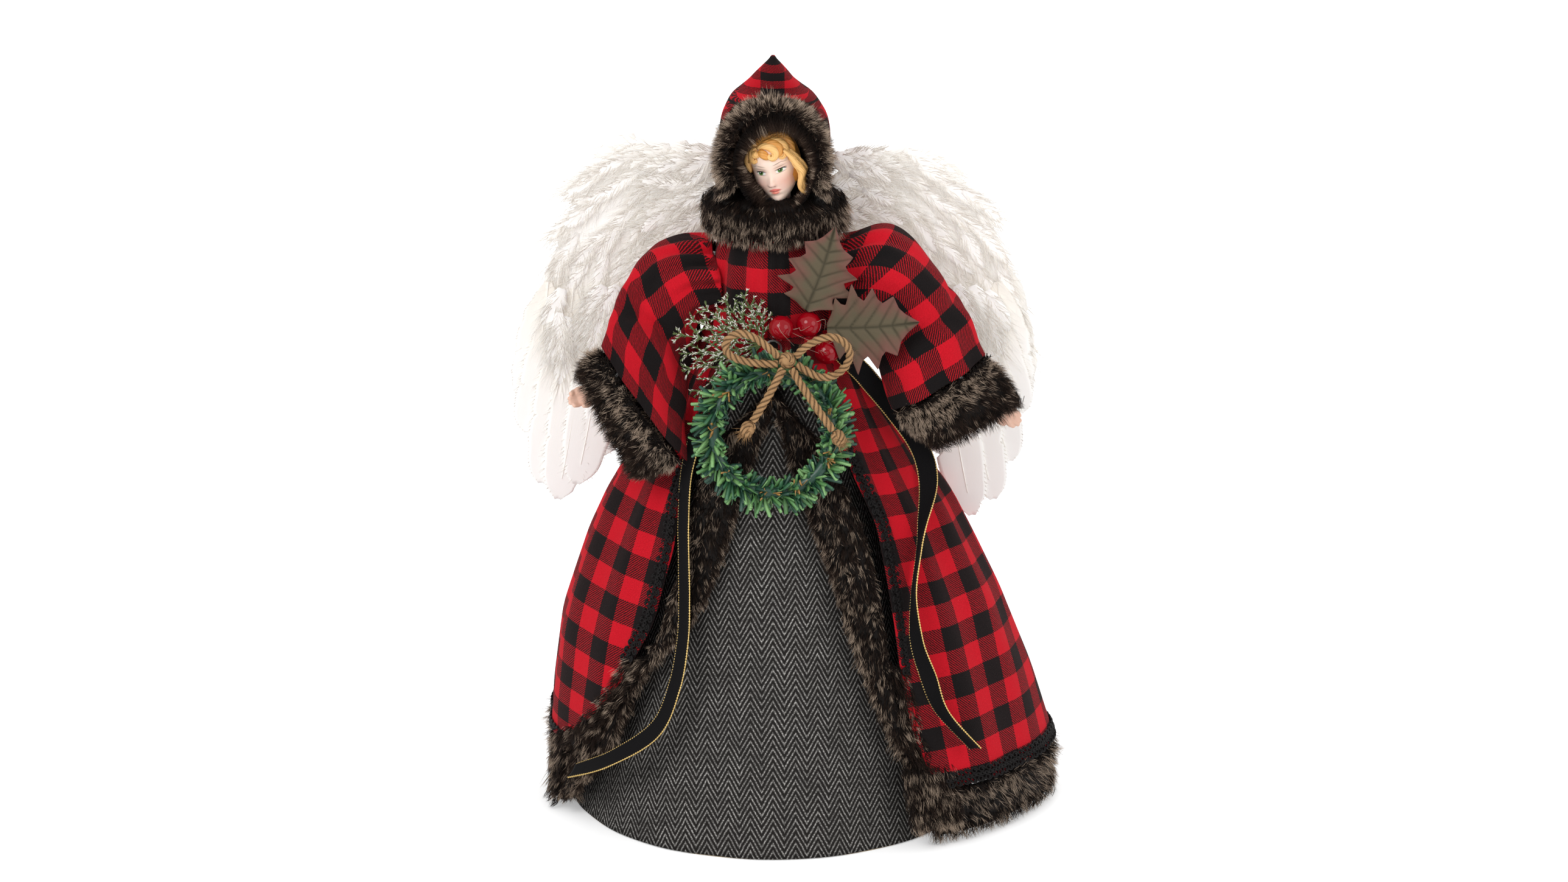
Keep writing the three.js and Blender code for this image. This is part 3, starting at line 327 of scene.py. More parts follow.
def tube(path, radius, sides, twist=0, lobes=0, depth=0, flat=1):
    """A closed tube along a path. Lobes of a given depth wind round it, as strands do in a rope."""
    path = np.asarray(path, float)
    radius = np.broadcast_to(radius, len(path))
    _, side, other = path_frames(path)
    reach = path_reach(path)
    turn = 2 * math.pi * np.arange(sides) / sides
    swing = turn[None] + twist * reach[:, None]
    size = radius[:, None] * (1 - depth * (0.5 - 0.5 * np.cos(lobes * turn)))[None]
    spokes = np.cos(swing)[..., None] * side[:, None] + flat * np.sin(swing)[..., None] * other[:, None]
    points = (path[:, None] + size[..., None] * spokes).reshape(-1, 3)
    uv = stacked(turn / (2 * math.pi), reach[:, None]).reshape(-1, 2)
    points = np.vstack([points, path[0], path[-1]])
    uv = np.vstack([uv, (0, 0), (0, reach[-1])])
    return points, closed_faces(len(path), sides), uv


def strands(roots, along, length, width, bend, chance, shade, rings=2):
    """Tapered three-sided strands. Bend moves each tip sideways, as a share of its length."""
    count = len(roots)
    sides = 3
    side = unit(np.cross(along, rng.normal(size=(count, 3))))
    other = np.cross(along, side)
    given = (length, width, chance, shade)
    reach, width, chance, shade = [np.broadcast_to(rows, count)[:, None] for rows in given]
    layers, steps = [], []
    for ring in range(rings):
        part = ring / rings
        centre = roots + reach * (along * part + bend * part ** 2)
        for turn in range(sides):
            angle = 2 * math.pi * turn / sides
            spoke = math.cos(angle) * side + math.sin(angle) * other
            layers.append(centre + width * 0.5 * (1 - part) ** 0.7 * spoke)
            steps.append(part)
    layers.append(roots + reach * (along + bend))
    steps.append(1)
    points = np.stack(layers, axis=1).reshape(-1, 3)
    mark = stacked(np.array(steps), chance, shade).reshape(-1, 3)
    return points, [spike_faces(count, rings, sides)], None, mark


def ball(centre, half, turns=24, rows=14):
    """A closed ball of quads with three-cornered poles."""
    angle = 2 * math.pi * np.arange(turns) / turns
    rise = math.pi * (np.arange(1, rows) / rows - 0.5)[:, None]
    level = stacked(np.cos(angle) * np.cos(rise), np.sin(angle) * np.cos(rise), np.sin(rise)).reshape(-1, 3)
    points = np.vstack([level, (0, 0, -1), (0, 0, 1)]) * half + centre
    return points, closed_faces(rows - 1, turns)


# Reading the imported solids


def solid_arrays(node):
    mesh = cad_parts[node].data
    mesh.calc_loop_triangles()
    points = np.zeros(len(mesh.vertices) * 3, np.float32)
    mesh.vertices.foreach_get("co", points)
    corners = np.zeros(len(mesh.loop_triangles) * 3, np.int32)
    mesh.loop_triangles.foreach_get("vertices", corners)
    return points.reshape(-1, 3).astype(float), corners.reshape(-1, 3)


def skin_points(node, count):
    """Places spread over a solid's skin, with the outward direction at each."""
    points, corners = solid_arrays(node)
    corner = points[corners]
    facing = np.cross(corner[:, 1] - corner[:, 0], corner[:, 2] - corner[:, 0])
    area = np.linalg.norm(facing, axis=1)
    facing = unit(facing)
    pick = rng.choice(len(area), count, p=area / area.sum())
    first, second = rng.random((2, count, 1))
    flip = first + second > 1
    first, second = np.where(flip, 1 - first, first), np.where(flip, 1 - second, second)
    chosen = corner[pick]
    places = chosen[:, 0] + first * (chosen[:, 1] - chosen[:, 0]) + second * (chosen[:, 2] - chosen[:, 0])
    return places, facing[pick]


def shrunk_solid(node, depth):
    """A solid's own skin, merged and drawn in by a depth, to lie under a pile."""
    points, corners = solid_arrays(node)
    made = bmesh.new()
    rows = [made.verts.new(point) for point in points.tolist()]
    for corner in corners.tolist():
        made.faces.new([rows[at] for at in corner])
    bmesh.ops.remove_doubles(made, verts=made.verts, dist=0.01 * mm)
    bmesh.ops.recalc_face_normals(made, faces=made.faces)
    made.normal_update()
    made.verts.index_update()
    drawn = np.array([vert.co - vert.normal * depth for vert in made.verts])
    faces = [np.array([[vert.index for vert in face.verts] for face in made.faces])]
    made.free()
    return drawn, faces


# Materials


def link(tree, socket, given):
    if isinstance(given, bpy.types.NodeSocket):
        tree.links.new(given, socket)
    elif hasattr(given, "__len__") and len(given) == 3 and len(socket.default_value) == 4:
        socket.default_value = (*given, 1)
    else:
        socket.default_value = given


def put(tree, kind, given=None, **settings):
    made = tree.nodes.new("ShaderNode" + kind)
    for name, value in settings.items():
        setattr(made, name, value)
    for name, value in (given or {}).items():
        link(tree, made.inputs[name], value)
    return made


def calc(tree, operation, first, second=0.0, third=0.0):
    given = {0: first, 1: second, 2: third}
    return put(tree, "Math", given, operation=operation).outputs[0]


def between(tree, factor, first, second):
    return put(tree, "Mix", {0: factor, 6: first, 7: second}, data_type="RGBA").outputs[2]


def remap(tree, value, low, high, to_low=0.0, to_high=1.0):
    given = {"Value": value, "From Min": low, "From Max": high, "To Min": to_low, "To Max": to_high}
    return put(tree, "MapRange", given).outputs[0]


def noise(tree, vector, scale, detail=3.0, rough=0.6):
    given = {"Vector": vector, "Scale": scale, "Detail": detail, "Roughness": rough}
    return put(tree, "TexNoise", given).outputs[0]


def dim(tree, colour, amount):
    return put(tree, "VectorMath", {0: colour, 3: amount}, operation="SCALE").outputs[0]


def object_place(tree):
    return put(tree, "TexCoord").outputs["Object"]


def cloth_place(tree):
    return put(tree, "UVMap", uv_map="cloth").outputs[0]


def mark_parts(tree):
    field = put(tree, "Attribute", attribute_name="mark", attribute_type="GEOMETRY")
    return put(tree, "SeparateXYZ", {0: field.outputs["Vector"]}).outputs


def finish(name, colour=(0.5, 0.5, 0.5), roughness=0.8, **sockets):
    """A new material and its node tree. The sockets are named in plain words, with _ for a space."""
    material = bpy.data.materials.new(name)
    material.use_nodes = True
    tree = material.node_tree
    shader = tree.nodes["Principled BSDF"]
    link(tree, shader.inputs["Base Color"], colour)
    shader.inputs["Roughness"].default_value = roughness
    for key, value in sockets.items():
        link(tree, shader.inputs[key.replace("_", " ")], value)
    return material, tree, shader


def surface(tree, shader, colour, height=None, strength=0.0, depth=0.0):
    """Gives a shader its colour, and the bumps that a height makes."""
    link(tree, shader.inputs["Base Color"], colour)
    if height is not None:
        bump = put(tree, "Bump", {"Strength": strength, "Distance": depth, "Height": height})
        link(tree, shader.inputs["Normal"], bump.outputs[0])


def group(name, inputs, outputs):
    """A node group with named sockets, given as name and kind. Returns the tree, its inputs and its end."""
    tree = bpy.data.node_groups.new(name, "ShaderNodeTree")
    for rows, way in ((inputs, "INPUT"), (outputs, "OUTPUT")):
        for socket, kind in rows:
            tree.interface.new_socket(name=socket, in_out=way, socket_type="NodeSocket" + kind)
    start = tree.nodes.new("NodeGroupInput")
    return tree, start.outputs, tree.nodes.new("NodeGroupOutput").inputs


def use(tree, shared, given):
    made = tree.nodes.new("ShaderNodeGroup")
    made.node_tree = shared
    for name, value in given.items():
        link(tree, made.inputs[name], value)
    return made.outputs


def make_fibre_bump():
    """Fine fibres over cloth: a normal from noise at the size of a thread."""
    tree, start, end = group(
        "Fibre bump", [("Place", "Vector"), ("Scale", "Float"), ("Depth", "Float"), ("Weave", "Float")],
        [("Normal", "Vector"), ("Fuzz", "Float")],
    )
    fuzz = noise(tree, start["Place"], start["Scale"], 4.0, 0.7)
    height = calc(tree, "MULTIPLY_ADD", fuzz, 0.6, start["Weave"])
    bump = put(tree, "Bump", {"Strength": 0.8, "Distance": start["Depth"], "Height": height})
    link(tree, end["Normal"], bump.outputs[0])
    link(tree, end["Fuzz"], fuzz)
    return tree


def make_strand_tint():
    """Colour along a strand from root to tip. Chance and shade together choose which strands end pale."""
    colours = [(name, "Color") for name in ("Root", "Middle", "Dark tip", "Pale tip")]
    tree, start, end = group("Strand tint", [*colours, ("Spread", "Float")], [("Color", "Color")])
    along, chance, shade = mark_parts(tree)[:3]
    pale = remap(tree, calc(tree, "ADD", chance, shade), 0.9, 1.1)
    tip = between(tree, pale, start["Dark tip"], start["Pale tip"])
    low = between(tree, remap(tree, along, 0.05, 0.5), start["Root"], start["Middle"])
    whole = between(tree, remap(tree, along, 0.35, 0.9), low, tip)
    swing = remap(tree, chance, 0.0, 1.0, calc(tree, "SUBTRACT", 1.0, start["Spread"]), 1.0)
    link(tree, end["Color"], dim(tree, whole, swing))
    return tree


def make_mottled_material(name, dark, pale, tone, grain=None, strength=0.0, depth=0.2 * mm, **sockets):
    """Two colours in soft patches. Tone and grain give the scale and detail of the patches and the bumps."""
    material, tree, shader = finish(name, **sockets)
    place = object_place(tree)
    height = noise(tree, place, *grain) if grain else None
    surface(tree, shader, between(tree, noise(tree, place, *tone), dark, pale), height, strength, depth)
    return material


fibre_bump = make_fibre_bump()
strand_tint = make_strand_tint()


def make_fur_material():
    material, tree, shader = finish("Long pile fur", roughness=0.6, Specular_IOR_Level=0.15)
    tint = use(tree, strand_tint, {
        "Root": (0.006, 0.0036, 0.0026), "Middle": (0.023, 0.0122, 0.0082), "Dark tip": (0.06, 0.034, 0.0225),
        "Pale tip": (0.9, 0.69, 0.52), "Spread": 0.4,
    })
    surface(tree, shader, tint["Color"])
    return material


def make_feather_material(name, colour, shadow):
    """White barbs with fine streaks, painted shade at their roots from the shadow colour, and a faint painted
    glow from emission that stands in for the light that comes through them.
    """
    # The emission is a painted glow: the feathers give no light of their own.
    material, tree, shader = finish(
        name, roughness=0.85, Specular_IOR_Level=0.1, Emission_Strength=0.1, Emission_Color=(1, 0.9, 0.78),
    )
    tint = use(tree, strand_tint, {
        "Root": shadow, "Middle": colour, "Dark tip": colour, "Pale tip": (0.97, 0.965, 0.955),
        "Spread": 0.03,
    })
    long = put(tree, "VectorMath", {0: cloth_place(tree), 1: (1, 0.06, 1)}, operation="MULTIPLY")
    streak = noise(tree, long.outputs[0], 1900.0, 3.0)
    tone = remap(tree, streak, 0.3, 0.7, 0.97, 1.0)
    surface(tree, shader, dim(tree, tint["Color"], tone), streak, 0.2, 0.2 * mm)
    return material


def make_hair_material():
    """Yellow paint over moulded locks, with painted shade darkening their grooves."""
    material, tree, shader = finish("Painted hair", roughness=0.45, Coat_Weight=0.1)
    tint = use(tree, strand_tint, {
        "Root": (0.6, 0.24, 0.04), "Middle": (0.9, 0.42, 0.09), "Dark tip": (0.75, 0.3, 0.05),
        "Pale tip": (0.95, 0.56, 0.2), "Spread": 0.15,
    })
    across = put(tree, "SeparateXYZ", {0: cloth_place(tree)}).outputs[0]
    line = calc(tree, "SINE", calc(tree, "MULTIPLY", across, 44.0))
    grain = noise(tree, object_place(tree), 900.0)
    height = calc(tree, "MULTIPLY_ADD", grain, 0.4, calc(tree, "MULTIPLY", line, 0.2))
    # Painted shade: the paint is darker along the grooves, where the bumps are low.
    dark = remap(tree, line, -1.0, 0.6, 0.88, 1.0)
    surface(tree, shader, dim(tree, tint["Color"], dark), height, 0.7, 0.4 * mm)
    return material


def make_plaid_material():
    """Buffalo check: red squares, black squares, and squares of red and black twill between them."""
    material, tree, shader = finish(
        "Buffalo check", roughness=0.95, Sheen_Weight=0.06, Sheen_Roughness=0.5, Sheen_Tint=(0.9, 0.4, 0.4),
        Specular_IOR_Level=0.12,
    )
    place = cloth_place(tree)
    wander = put(tree, "TexNoise", {"Vector": place, "Scale": 900.0}).outputs[1]
    shift = put(tree, "VectorMath", {0: wander, 1: (0.5, 0.5, 0.5)}, operation="SUBTRACT").outputs[0]
    given = {0: shift, 1: (0.7 * mm,) * 3, 2: place}
    moved = put(tree, "VectorMath", given, operation="MULTIPLY_ADD").outputs[0]
    across, up = put(tree, "SeparateXYZ", {0: moved}).outputs[:2]
    stripes = []
    for way in (across, up):
        wave = calc(tree, "PINGPONG", calc(tree, "ADD", way, check_size / 2), check_size)
        stripes.append(remap(tree, wave, check_size * 0.48, check_size * 0.52))
    count = calc(tree, "ADD", *stripes)
    slope = calc(tree, "ADD", across, up)
    twill = calc(tree, "PINGPONG", slope, twill_size / 2)
    line = remap(tree, twill, twill_size * 0.13, twill_size * 0.22)
    weave = calc(tree, "DIVIDE", calc(tree, "PINGPONG", slope, thread_size), 2 * thread_size)
    both = calc(tree, "GREATER_THAN", count, 1.5)
    some = calc(tree, "GREATER_THAN", count, 0.5)
    mixed = calc(tree, "MULTIPLY", some, calc(tree, "MULTIPLY_ADD", line, 0.74, 0.2))
    amount = calc(tree, "MAXIMUM", both, mixed)
    effect = use(tree, fibre_bump, {"Place": moved, "Scale": 1500.0, "Depth": thread_size, "Weave": weave})
    red = between(tree, effect["Fuzz"], (0.4, 0.003, 0.01), (0.72, 0.012, 0.026))
    black = between(tree, effect["Fuzz"], (0.0025, 0.0022, 0.0024), (0.013, 0.0115, 0.0115))
    lint = remap(tree, noise(tree, moved, 420.0, 2.0), 0.76, 0.82, 0.0, 0.3)
    surface(tree, shader, between(tree, lint, between(tree, amount, red, black), (0.4, 0.16, 0.16)))
    link(tree, shader.inputs["Normal"], effect["Normal"])
    return material


def make_tweed_material():
    """Herringbone: columns of slanting flecked yarns that meet in peaks."""
    material, tree, shader = finish("Herringbone tweed", roughness=0.95, Specular_IOR_Level=0.15)
    place = cloth_place(tree)
    wander = noise(tree, place, 120.0, 2.0)
    across, up = put(tree, "SeparateXYZ", {0: place}).outputs[:2]
    zigzag = calc(tree, "PINGPONG", across, herringbone_width)
    climb = calc(tree, "MULTIPLY_ADD", zigzag, 1.75, up)
    climb = calc(tree, "MULTIPLY_ADD", wander, 1.6 * mm, climb)
    wave = calc(tree, "PINGPONG", climb, herringbone_rise / 2)
    light = remap(tree, wave, herringbone_rise * 0.22, herringbone_rise * 0.42)
    spot = noise(tree, place, 1250.0, 1.0, 0.4)
    fleck = remap(tree, spot, 0.44, 0.62)
    tone = remap(tree, noise(tree, place, 75.0, 2.0), 0.3, 0.7, 0.55, 1.0)
    yarn = calc(tree, "MULTIPLY", light, calc(tree, "MULTIPLY_ADD", fleck, 0.75, 0.25))
    effect = use(tree, fibre_bump, {"Place": place, "Scale": 1100.0, "Depth": 0.5 * mm, "Weave": light})
    dark = between(tree, effect["Fuzz"], (0.004, 0.0036, 0.0034), (0.024, 0.021, 0.019))
    pale = between(tree, effect["Fuzz"], (0.08, 0.075, 0.07), (0.82, 0.79, 0.75))
    surface(tree, shader, between(tree, calc(tree, "MULTIPLY", yarn, tone), dark, pale))
    link(tree, shader.inputs["Normal"], effect["Normal"])
    return material


def make_cord_material(name, pale, dark, scale, roughness=0.85, groove_shade=0.0):
    """Spun fibres that run along a cord, with painted shade between its strands."""
    material, tree, shader = finish(name, roughness=roughness, Specular_IOR_Level=0.15)
    place = object_place(tree)
    fuzz = noise(tree, place, scale, 4.0, 0.7)
    tone = noise(tree, place, scale / 6, 2.0)
    amount = calc(tree, "MULTIPLY_ADD", fuzz, 0.6, calc(tree, "MULTIPLY", tone, 0.5))
    turn = put(tree, "SeparateXYZ", {0: cloth_place(tree)}).outputs[0]
    ridge = calc(tree, "COSINE", calc(tree, "MULTIPLY", turn, 6 * math.pi))
    # Painted shade: the colour darkens in the valleys between the cord's strands.
    depth = remap(tree, ridge, -1.0, 0.1, 1 - groove_shade, 1.0)
    surface(tree, shader, dim(tree, between(tree, amount, dark, pale), depth), fuzz, 0.9, 0.3 * mm)
    return material


def make_velvet_material():
    material, tree, shader = finish(
        "Black velvet", roughness=0.95, Sheen_Weight=0.05, Sheen_Roughness=0.3, Specular_IOR_Level=0.05,
    )
    effect = use(tree, fibre_bump, {
        "Place": cloth_place(tree), "Scale": 2200.0, "Depth": 0.2 * mm, "Weave": 0.0,
    })
    surface(tree, shader, between(tree, effect["Fuzz"], (0.002, 0.002, 0.002), (0.014, 0.013, 0.014)))
    link(tree, shader.inputs["Normal"], effect["Normal"])
    return material


def make_leaf_material():
    """Olive-brown along the midrib, burgundy towards the edge, with darker veins."""
    material, tree, shader = finish("Holly leaf cloth", roughness=0.75, Specular_IOR_Level=0.25)
    out, _, vein = mark_parts(tree)[:3]
    place = object_place(tree)
    blotch = noise(tree, place, 90.0, 4.0)
    edge = remap(tree, calc(tree, "MULTIPLY_ADD", blotch, 0.6, out), 0.5, 1.15)
    body = between(tree, edge, (0.092, 0.075, 0.042), (0.17, 0.055, 0.046))
    fine = noise(tree, place, 2600.0, 2.0)
    toned = between(tree, calc(tree, "MULTIPLY", fine, 0.3), body, (0.17, 0.13, 0.1))
    veined = between(tree, calc(tree, "MULTIPLY", vein, 0.7), toned, (0.028, 0.026, 0.014))
    surface(tree, shader, veined, fine, 0.5, 0.15 * mm)
    return material


def make_marked_material(name, rows, roughness):
    """Colours chosen by each part's chance: rows of a lowest chance and a colour."""
    material, tree, shader = finish(name, roughness=roughness)
    ramp = put(tree, "ValToRGB", {0: mark_parts(tree)[1]})
    ramp.color_ramp.interpolation = "CONSTANT"
    for at, (low, colour) in enumerate(rows):
        element = ramp.color_ramp.elements[at] if at < 2 else ramp.color_ramp.elements.new(low)
        element.position = low
        element.color = (*colour, 1)
    fine = noise(tree, object_place(tree), 1200.0, 2.0)
    tone = remap(tree, fine, 0.2, 0.8, 0.75, 1.15)
    surface(tree, shader, dim(tree, ramp.outputs[0], tone), fine, 0.4, 0.15 * mm)
    return material


fur_material = make_fur_material()
down_material = make_feather_material("Fluffy down", (0.96, 0.925, 0.88), (0.93, 0.89, 0.835))
blade_material = make_feather_material("Smooth feather", (0.955, 0.93, 0.895), (0.86, 0.82, 0.76))
hair_material = make_hair_material()
plaid_material = make_plaid_material()
tweed_material = make_tweed_material()
# The jute twine gets painted shade between its strands.
jute_material = make_cord_material("Jute twine", (0.56, 0.34, 0.17), (0.2, 0.1, 0.04), 1500.0, groove_shade=0.72)
gimp_material = make_cord_material("Black gimp", (0.014, 0.012, 0.012), (0.003, 0.0025, 0.0025), 1800.0, 0.6)
velvet_material = make_velvet_material()
# The gold's pale patches follow the same noise as its bumps, so the raised spots are lighter: painted glints.
gold_material = make_mottled_material(
    "Gold wire", (0.62, 0.33, 0.05), (1.0, 0.8, 0.34), (1400.0, 2.0), (1400.0, 2.0), 0.6,
    roughness=0.35, Metallic=0.55,
)
leaf_material = make_leaf_material()
needle_material = make_marked_material("Cut film needles", [
    (0.0, (0.02, 0.07, 0.045)), (0.26, (0.045, 0.15, 0.07)), (0.48, (0.11, 0.27, 0.09)),
    (0.7, (0.22, 0.43, 0.16)), (0.965, (0.42, 0.22, 0.06)),
], 0.35)
sprig_material = make_marked_material("Flocked sprig", [
    (0.0, (0.09, 0.13, 0.04)), (0.3, (0.17, 0.22, 0.08)), (0.5, (0.74, 0.73, 0.62)), (0.8, (0.88, 0.87, 0.8)),
], 0.9)
berry_material = make_mottled_material(
    "Lacquered berry", (0.2, 0.0005, 0.004), (0.34, 0.001, 0.008), (160.0, 3.0), (420.0, 2.0), 0.08,
    roughness=0.1, Specular_IOR_Level=0.35,
)
porcelain_material = make_mottled_material(
    "Bisque porcelain", (0.7, 0.42, 0.31), (0.78, 0.52, 0.41), (130.0, 3.0), (1500.0, 2.0), 0.15, 0.1 * mm,
    roughness=0.5, Subsurface_Weight=0.15, Subsurface_Radius=(1.2 * mm, 0.5 * mm, 0.3 * mm),
    Specular_IOR_Level=0.35,
)
board_material = make_mottled_material(
    "Grey board", (0.36, 0.28, 0.18), (0.62, 0.52, 0.38), (700.0, 4.0), (700.0, 4.0), 0.4, roughness=0.9,
)
wire_material = make_mottled_material(
    "Bright wire", (0.4, 0.4, 0.4), (0.66, 0.66, 0.64), (500.0, 2.0), roughness=0.3, Metallic=1.0,
)
glue_material = finish("Dried glue", (0.5, 0.36, 0.28), 0.3)[0]
wadding_material = make_cord_material("Wadding", (0.93, 0.92, 0.9), (0.75, 0.73, 0.7), 600.0)
foam_material = make_cord_material("Foam", (0.9, 0.88, 0.82), (0.7, 0.67, 0.6), 900.0)


# Camera, lights and stage

lamps = [
    ("key", (-1.1, -1.7, 1.9), 1.3, 25),
    ("fill", (1.6, -1.4, 1.1), 1.5, 9),
    ("rim", (0.5, 1.7, 1.6), 1.3, 14),
]


def aim(thing, place, target):
    thing.location = place
    thing.rotation_euler = (Vector(target) - Vector(place)).to_track_quat("-Z", "Y").to_euler()


def make_camera():
    lens = bpy.data.cameras.new("photo_camera")
    lens.sensor_width = 36
    lens.lens = lens.sensor_width * camera_distance / (photo_width * metres_per_pixel)
    camera = bpy.data.objects.new("photo_camera", lens)
    rise = math.radians(camera_elevation)
    back = Vector((0, -math.cos(rise), math.sin(rise))) * camera_distance
    aim(camera, Vector(camera_aim) + back, camera_aim)
    bpy.context.scene.collection.objects.link(camera)
    bpy.context.scene.camera = camera


def make_lamp(name, place, size, watts):
    lamp = bpy.data.lights.new(name, "AREA")
    lamp.shape = "DISK"
    lamp.size = size
    lamp.energy = watts
    made = bpy.data.objects.new(name, lamp)
    aim(made, place, (0, 0, 0.2))
    bpy.context.scene.collection.objects.link(made)


def make_stage():
    bpy.context.scene.view_settings.view_transform = "Standard"
    world = bpy.data.worlds.new("studio")
    bpy.context.scene.world = world
    world.use_nodes = True
    tree = world.node_tree
    seen = put(tree, "LightPath").outputs["Is Camera Ray"]
    tree.nodes["Background"].inputs[0].default_value = (1, 1, 1, 1)
    link(tree, tree.nodes["Background"].inputs[1], remap(tree, seen, 0.0, 1.0, 0.82, 1.0))
    material, tree, shader = finish("Pale floor", (0.9, 0.9, 0.9), 0.9, Emission_Color=(1, 1, 1))
    seen = put(tree, "LightPath").outputs["Is Camera Ray"]
    link(tree, shader.inputs["Emission Strength"], calc(tree, "MULTIPLY", seen, 0.32))
    bpy.ops.mesh.primitive_plane_add(size=9, location=(0, 0, 0))
    floor = bpy.context.object
    floor.name = "floor"
    floor.data.materials.append(material)
    for name, place, size, watts in lamps:
        make_lamp(name, place, size, watts)
    bpy.ops.object.select_all(action="DESELECT")


make_camera()
make_stage()


# Jute bow


def make_fringe(heap, centre, radius, count, length):
    """Loose fibres that stand out of a knot."""
    out = unit(rng.normal(size=(count, 3)))
    bend = rng.normal(size=(count, 3)) * 0.25
    chance = rng.uniform(0, 1, count)
    sizes = length * rng.uniform(0.4, 1, count)
    heap.add(*strands(centre + out * radius, out, sizes, 0.22 * mm, bend, chance, 0.5))


def make_wound_knot(heap, centre, half, turns, strand, tilt):
    """Turns of twine laid round a ball, one beside the other."""
    wound = np.linspace(0, 2 * math.pi * turns, 36 * turns)
    lean = mix(-0.55, 0.55, wound / wound[-1])
    ring = stacked(np.cos(wound) * np.cos(lean), np.sin(lean), np.sin(wound) * np.cos(lean))
    cosine, sine = math.cos(tilt), math.sin(tilt)
    turned = ring @ np.array([(cosine, -sine, 0), (sine, cosine, 0), (0, 0, 1)])
    path = centre + turned * (half - strand / 2)
    heap.add(*tube(path, strand / 2, 12, 2 * math.pi / knot_lay, 3, 0.22))


def add_stray_fibres(heap, path):
    along, side, other = path_frames(path)
    count = 150
    at = rng.integers(2, len(path) - 2, count)
    angle = rng.uniform(0, 2 * math.pi, (count, 1))
    out = np.cos(angle) * side[at] + np.sin(angle) * other[at]
    lean = unit(along[at] * rng.choice((-1, 1), (count, 1)) + out * rng.uniform(0.15, 0.7, (count, 1)))
    sizes = rng.uniform(1.5, 5, count) * mm
    bend = rng.normal(size=(count, 3)) * 0.3
    roots = path[at] + out * twine_diameter * 0.4
    heap.add(*strands(roots, lean, sizes, 0.13 * mm, bend, rng.random(count), 0.5))


def make_tail_knot(side, path):
    """The knot at a tail's end, with its frayed brush."""
    frayed = 90
    end = unit(path[-1] - path[-2])
    centre = path[-1] + end * (tail_knot_radius + touch_gap)
    heap = Heap()
    heap.add(*ball(centre, np.array((3.2, 3, 3.2)) * mm))
    make_wound_knot(heap, centre, np.full(3, tail_knot_radius), 2, 3.2 * mm, 0.8 * side_sign[side])
    make_wound_knot(heap, centre, np.full(3, tail_knot_radius * 0.96), 1, 3 * mm, 2.1)
    out = unit(end + rng.normal(size=(frayed, 3)) * 0.45)
    sizes = rng.uniform(2.5, 6, frayed) * mm
    bend = rng.normal(size=(frayed, 3)) * 0.25
    heap.add(*strands(centre + out * 3 * mm, out, sizes, 0.3 * mm, bend, rng.random(frayed), 0.5))
    name = f"jute_tail_knot_{side}"
    return heap.piece(f"{name}_wraps", jute_material, "jute", "wreath", [name])


def make_jute():
    """The bow's two loops and two tails, each a cord of its own, with the knot and the tails' frayed ends."""
    made = {}
    paths = {}
    fibres = Heap()
    for name, route in twine_routes.items():
        path = smooth_path(np.array(route) * mm, 90)
        radius = twine_diameter / 2 * (1.02 + 0.03 * np.sin(path_reach(path) / (1.7 * mm)))
        heap = Heap()
        heap.add(*tube(path, radius, 24, 2 * math.pi / twine_lay, 3, 0.27))
        add_stray_fibres(fibres, path)
        made[name] = heap.piece(name + "_twine", jute_material, "jute", "wreath", [name])
        paths[name] = path
    heap = Heap()
    heap.add(*ball(knot_place, np.array((3.4, 2.8, 3.4)) * mm))
    make_wound_knot(heap, knot_place, np.array((knot_radius, 4 * mm, knot_radius)), 3, 3 * mm, 0.35)
    make_fringe(heap, knot_place, 3.6 * mm, 60, 3 * mm)
    heap.piece("jute_knot_wraps", jute_material, "jute", "wreath", ["jute_knot"])
    for side in side_sign:
        make_tail_knot(side, paths[f"jute_tail_{side}"])
    fibres.piece("jute_fibres", jute_material, "jute", "wreath")
    for name, piece in made.items():
        path = paths[name]


make_jute()


# Skirt and coat

skirt_hem_radius = 104 * mm
skirt_top_radius = 24 * mm
skirt_slope = math.atan2(skirt_hem_radius - skirt_top_radius, waist_height)
coat_standoff = 10 * mm
coat_top = waist_height + chest_height
coat_fold_depth = 2.4 * mm
coat_fold_count = 9
hem_heights = {"front": 33 * mm, "back": 31 * mm, "left": 42 * mm}
coat_flares = {"left": 27 * mm, "right": 40.7 * mm, "back": 24 * mm}
flare_shares = {
    "right": [
        (0, 0.88), (0.11, 0.98), (0.27, 1), (0.435, 0.93), (0.54, 0.826), (0.63, 0.72),
        (0.695, 0.555), (0.763, 0.37), (0.84, 0.177), (0.916, 0.07), (1, 0),
    ],
    "left": [
        (0, 0.2), (0.076, 0.37), (0.218, 0.72), (0.374, 1), (0.54, 1), (0.63, 0.9),
        (0.695, 0.726), (0.763, 0.444), (0.84, 0.23), (0.916, 0.1), (1, 0),
    ],
}
chest_shares = [(0, 1), (0.5, 0.97), (0.78, 0.92), (0.92, 0.84), (1, 0.76)]
edge_shares = {
    "right": [
        (0, 46), (0.13, 45.5), (0.24, 42.5), (0.36, 43), (0.47, 44.5), (0.64, 46.5),
        (0.74, 43), (0.82, 41), (0.88, 36), (0.93, 20), (0.955, 0), (1.3, 0),
    ],
    "left": [
        (0, 80), (0.165, 76), (0.195, 65), (0.3, 53.5), (0.435, 45.5), (0.59, 44), (0.7, 46.5),
        (0.8, 46), (0.88, 40), (0.93, 22), (0.955, 0), (1.3, 0),
    ],
}
gather_shares = [(0, 1), (0.45, 1), (0.75, 1.3), (1, 1.6)]
grain_line = 44.5
panel_columns = 132
coat_skirt_rows = 98
bodice_rows = 40


